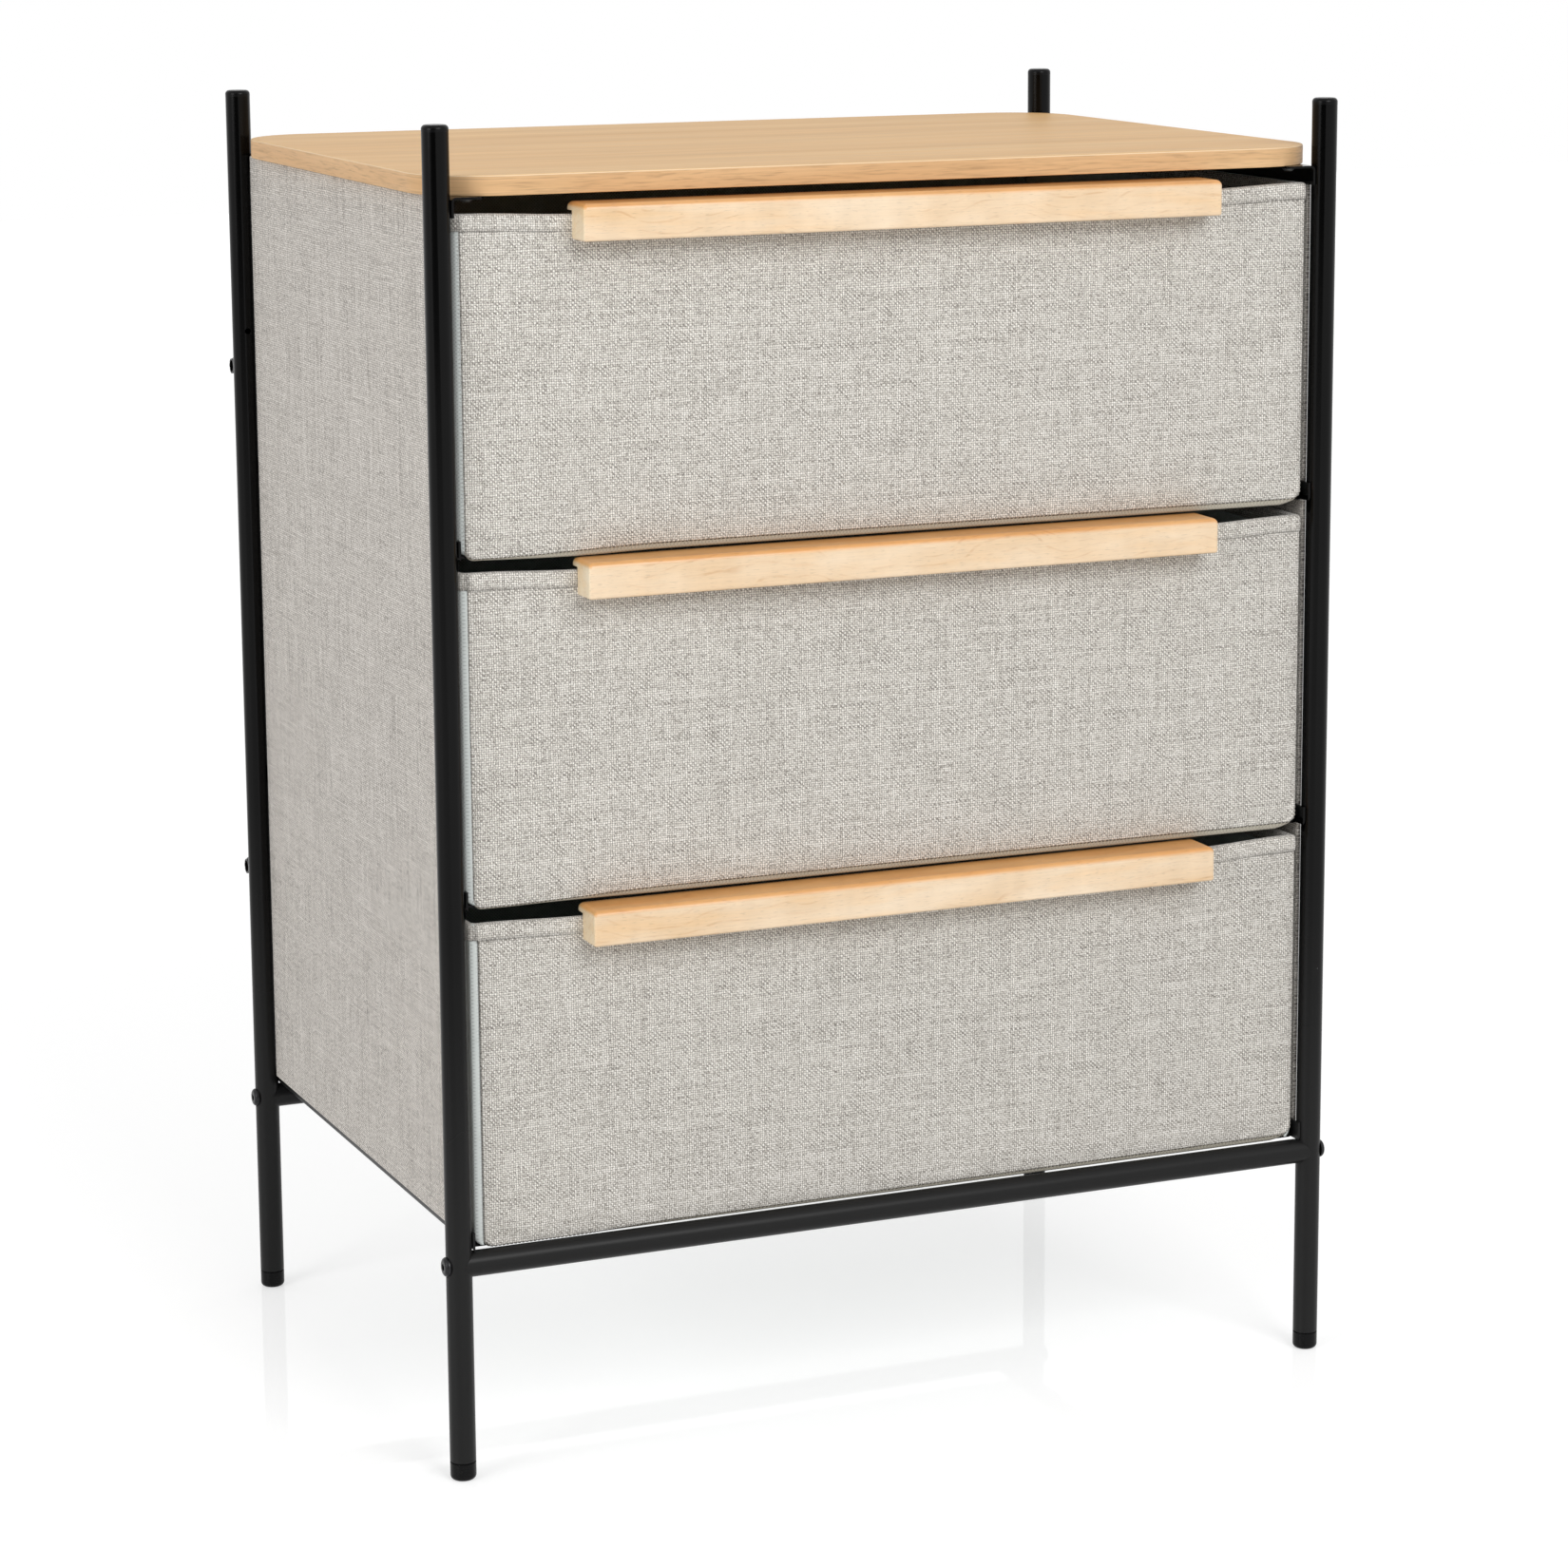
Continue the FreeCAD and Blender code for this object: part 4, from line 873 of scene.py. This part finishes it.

# ---- Edge seams of the fronts ------------------------------------------------------------
# Overlock thread holds the linen to the bin's cloth, in short stitches that sink into the
# groove: grey down both sides, and along the bottom painted dark brown, a painted shade of
# the fold under the linen.
for level in LEVELS:
    low, high = box_mm(f"drawer_{level}_front")
    px, pz = lower_edge(level, 14, 0, 60)
    top = high[2] - TAPE - 0.5
    px = np.concatenate([[-HALF], px, [HALF]])
    pz = np.concatenate([[top + hang(level, -HALF)], pz, [top + hang(level, HALF)]])
    along = travelled(px, pz)
    n = int(along[-1] // 2.6)
    s = (np.arange(n) + 0.5) * along[-1] / n
    x, z = np.interp(s, along, px), np.interp(s, along, pz)
    dx, dz = np.interp(s + 0.5, along, px) - x, np.interp(s + 0.5, along, pz) - z
    long = np.maximum(np.hypot(dx, dz), 1e-9)
    way = np.stack([dx / long, 0 * dx, dz / long], -1)
    out = np.cross(way, (0, 1.0, 0))
    # Along the bottom the thread lies further forward, in the fold over the band.
    flatness = np.abs(way[:, 0])
    at = np.stack([x, low[1] + 2.6 - 1.1 * flatness, z + 0.55 * flatness], -1) - out * 0.25
    at[:, 0] = reach(level, at[:, 0])
    for name, rows, finish in (
        ("edge_seam", flatness <= 0.7, seam_thread),
        ("hem_seam", flatness > 0.7, shaded_thread),
    ):
        beads = (at[rows], way[rows], out[rows], 2.5, 0.55, finish)
        stitch(f"{level}_{name}", *beads, f"{level}_drawer", "side_cloth")

# ---- Wood pulls --------------------------------------------------------------------------
# Bars of solid beech, planed, with eased arrises and a clear satin lacquer. The grain
# runs along the bar, with faint growth rings and short dark ray flecks.
beech, tree, shader = start("lacquered_beech")
place = put(tree, "TexCoord").outputs["Object"]
axis = put(tree, "SeparateXYZ", {0: place}).outputs
# Rings: brown lines 6.5 mm apart in 0.55 y + z, pushed by up to 10 mm by a slow noise, so
# that they swirl along the bar. They come and go with a cloud 80 mm long.
slow = stretched(tree, place, (11, 16, 16), Detail=2)
level_of = put(tree, "Math", {0: axis[1], 1: 0.55, 2: axis[2]}, operation="MULTIPLY_ADD")
pushed = put(tree, "Math", {0: slow, 1: 0.06, 2: level_of}, operation="MULTIPLY_ADD")
phase = put(tree, "Math", {0: pushed, 1: 2 * math.pi / 0.0065}, operation="MULTIPLY")
wave = put(tree, "Math", {0: phase}, operation="SINE")
crest = {"Value": wave, "From Min": 0.72, "From Max": 1.0}
ring = put(tree, "MapRange", crest, interpolation_type="SMOOTHSTEP")
cloud = stretched(tree, place, (12, 40, 40), Detail=3)
plain = put(
    tree,
    "MapRange",
    {"Value": cloud, "From Min": 0.36, "From Max": 0.6, "To Min": 0.34, "To Max": 0.0},
)
browner = put(tree, "Math", {0: ring, 1: plain}, operation="MULTIPLY")
# The rings are not drawn through: each is made of dashes about 12 mm long.
dash = stretched(tree, place, (80, 420, 420), Detail=2)
broken = put(tree, "MapRange", {"Value": dash, "From Min": 0.4, "From Max": 0.62})
browner = put(tree, "Math", {0: browner, 1: broken}, operation="MULTIPLY")
# Warm stains: soft orange patches 60 mm long and 9 mm high.
patch = stretched(tree, place, (16, 110, 110), Detail=2)
stain = put(tree, "MapRange", {"Value": patch, "From Min": 0.5, "From Max": 0.72, "To Max": 0.4})
# Fine lines, short dark flecks, and ripple: soft upright bars some 12 mm apart, where the
# fibres wave.
streak = stretched(tree, place, (20, 900, 900), Detail=3)
fleck = stretched(tree, place, (170, 1500, 1500), Detail=1)
ripple = stretched(tree, place, (80, 9, 9), Detail=1)
lines = put(tree, "MapRange", {"Value": streak, **USUAL, "To Min": 0.955, "To Max": 1.025})
ticks = put(
    tree,
    "MapRange",
    {"Value": fleck, "From Min": 0.6, "From Max": 0.72, "To Min": 1.0, "To Max": 0.84},
)
ripples = put(tree, "MapRange", {"Value": ripple, **USUAL, "To Min": 0.965, "To Max": 1.03})
shade = put(tree, "Math", {0: lines, 1: ticks}, operation="MULTIPLY")
shade = put(tree, "Math", {0: shade, 1: ripples}, operation="MULTIPLY")
tone = put(tree, "ValToRGB", {0: cloud}, stops=((0.3, colour("#E2C29A")), (0.7, colour("#EFD9BC"))))
stained = put(tree, "Mix", {0: stain, 6: tone, 7: colour("#E9BE86")}, data_type="RGBA")
ringed = put(tree, "Mix", {0: browner, 6: stained, 7: colour("#BE8850")}, data_type="RGBA")
final = put(tree, "VectorMath", {0: ringed, "Scale": shade}, operation="SCALE")
# The top is painted darker and deeper orange than the front, a painted shade from the board
# and the drawer above, and the ends are made paler and less orange.
normal = put(tree, "SeparateXYZ", {0: put(tree, "NewGeometry").outputs["Normal"]}).outputs
upper = put(tree, "MapRange", {"Value": normal[2], "From Min": 0.02, "From Max": 0.55})
sideways = put(tree, "Math", {0: normal[0]}, operation="ABSOLUTE")
end_faces = put(tree, "MapRange", {"Value": sideways, "From Min": 0.6, "From Max": 0.95})
for share, tint in ((upper, (0.87, 0.59, 0.31)), (end_faces, (1.08, 1.17, 1.22))):
    tint = put(tree, "Mix", {0: share, 4: (1.0, 1.0, 1.0), 5: tint}, data_type="VECTOR")
    final = put(tree, "VectorMath", {0: final, 1: tint}, operation="MULTIPLY")
rough = put(tree, "MapRange", {"Value": streak, "To Min": 0.34, "To Max": 0.5})
bump = put(tree, "Bump", {"Height": shade, "Strength": 0.15, "Distance": 0.0002})
feed(shader, {"Base Color": final, "Roughness": rough, "Normal": bump})
feed(shader, {"Coat Weight": 0.3, "Coat Roughness": 0.14})
coat([f"drawer_{level}_pull" for level in LEVELS], beech)
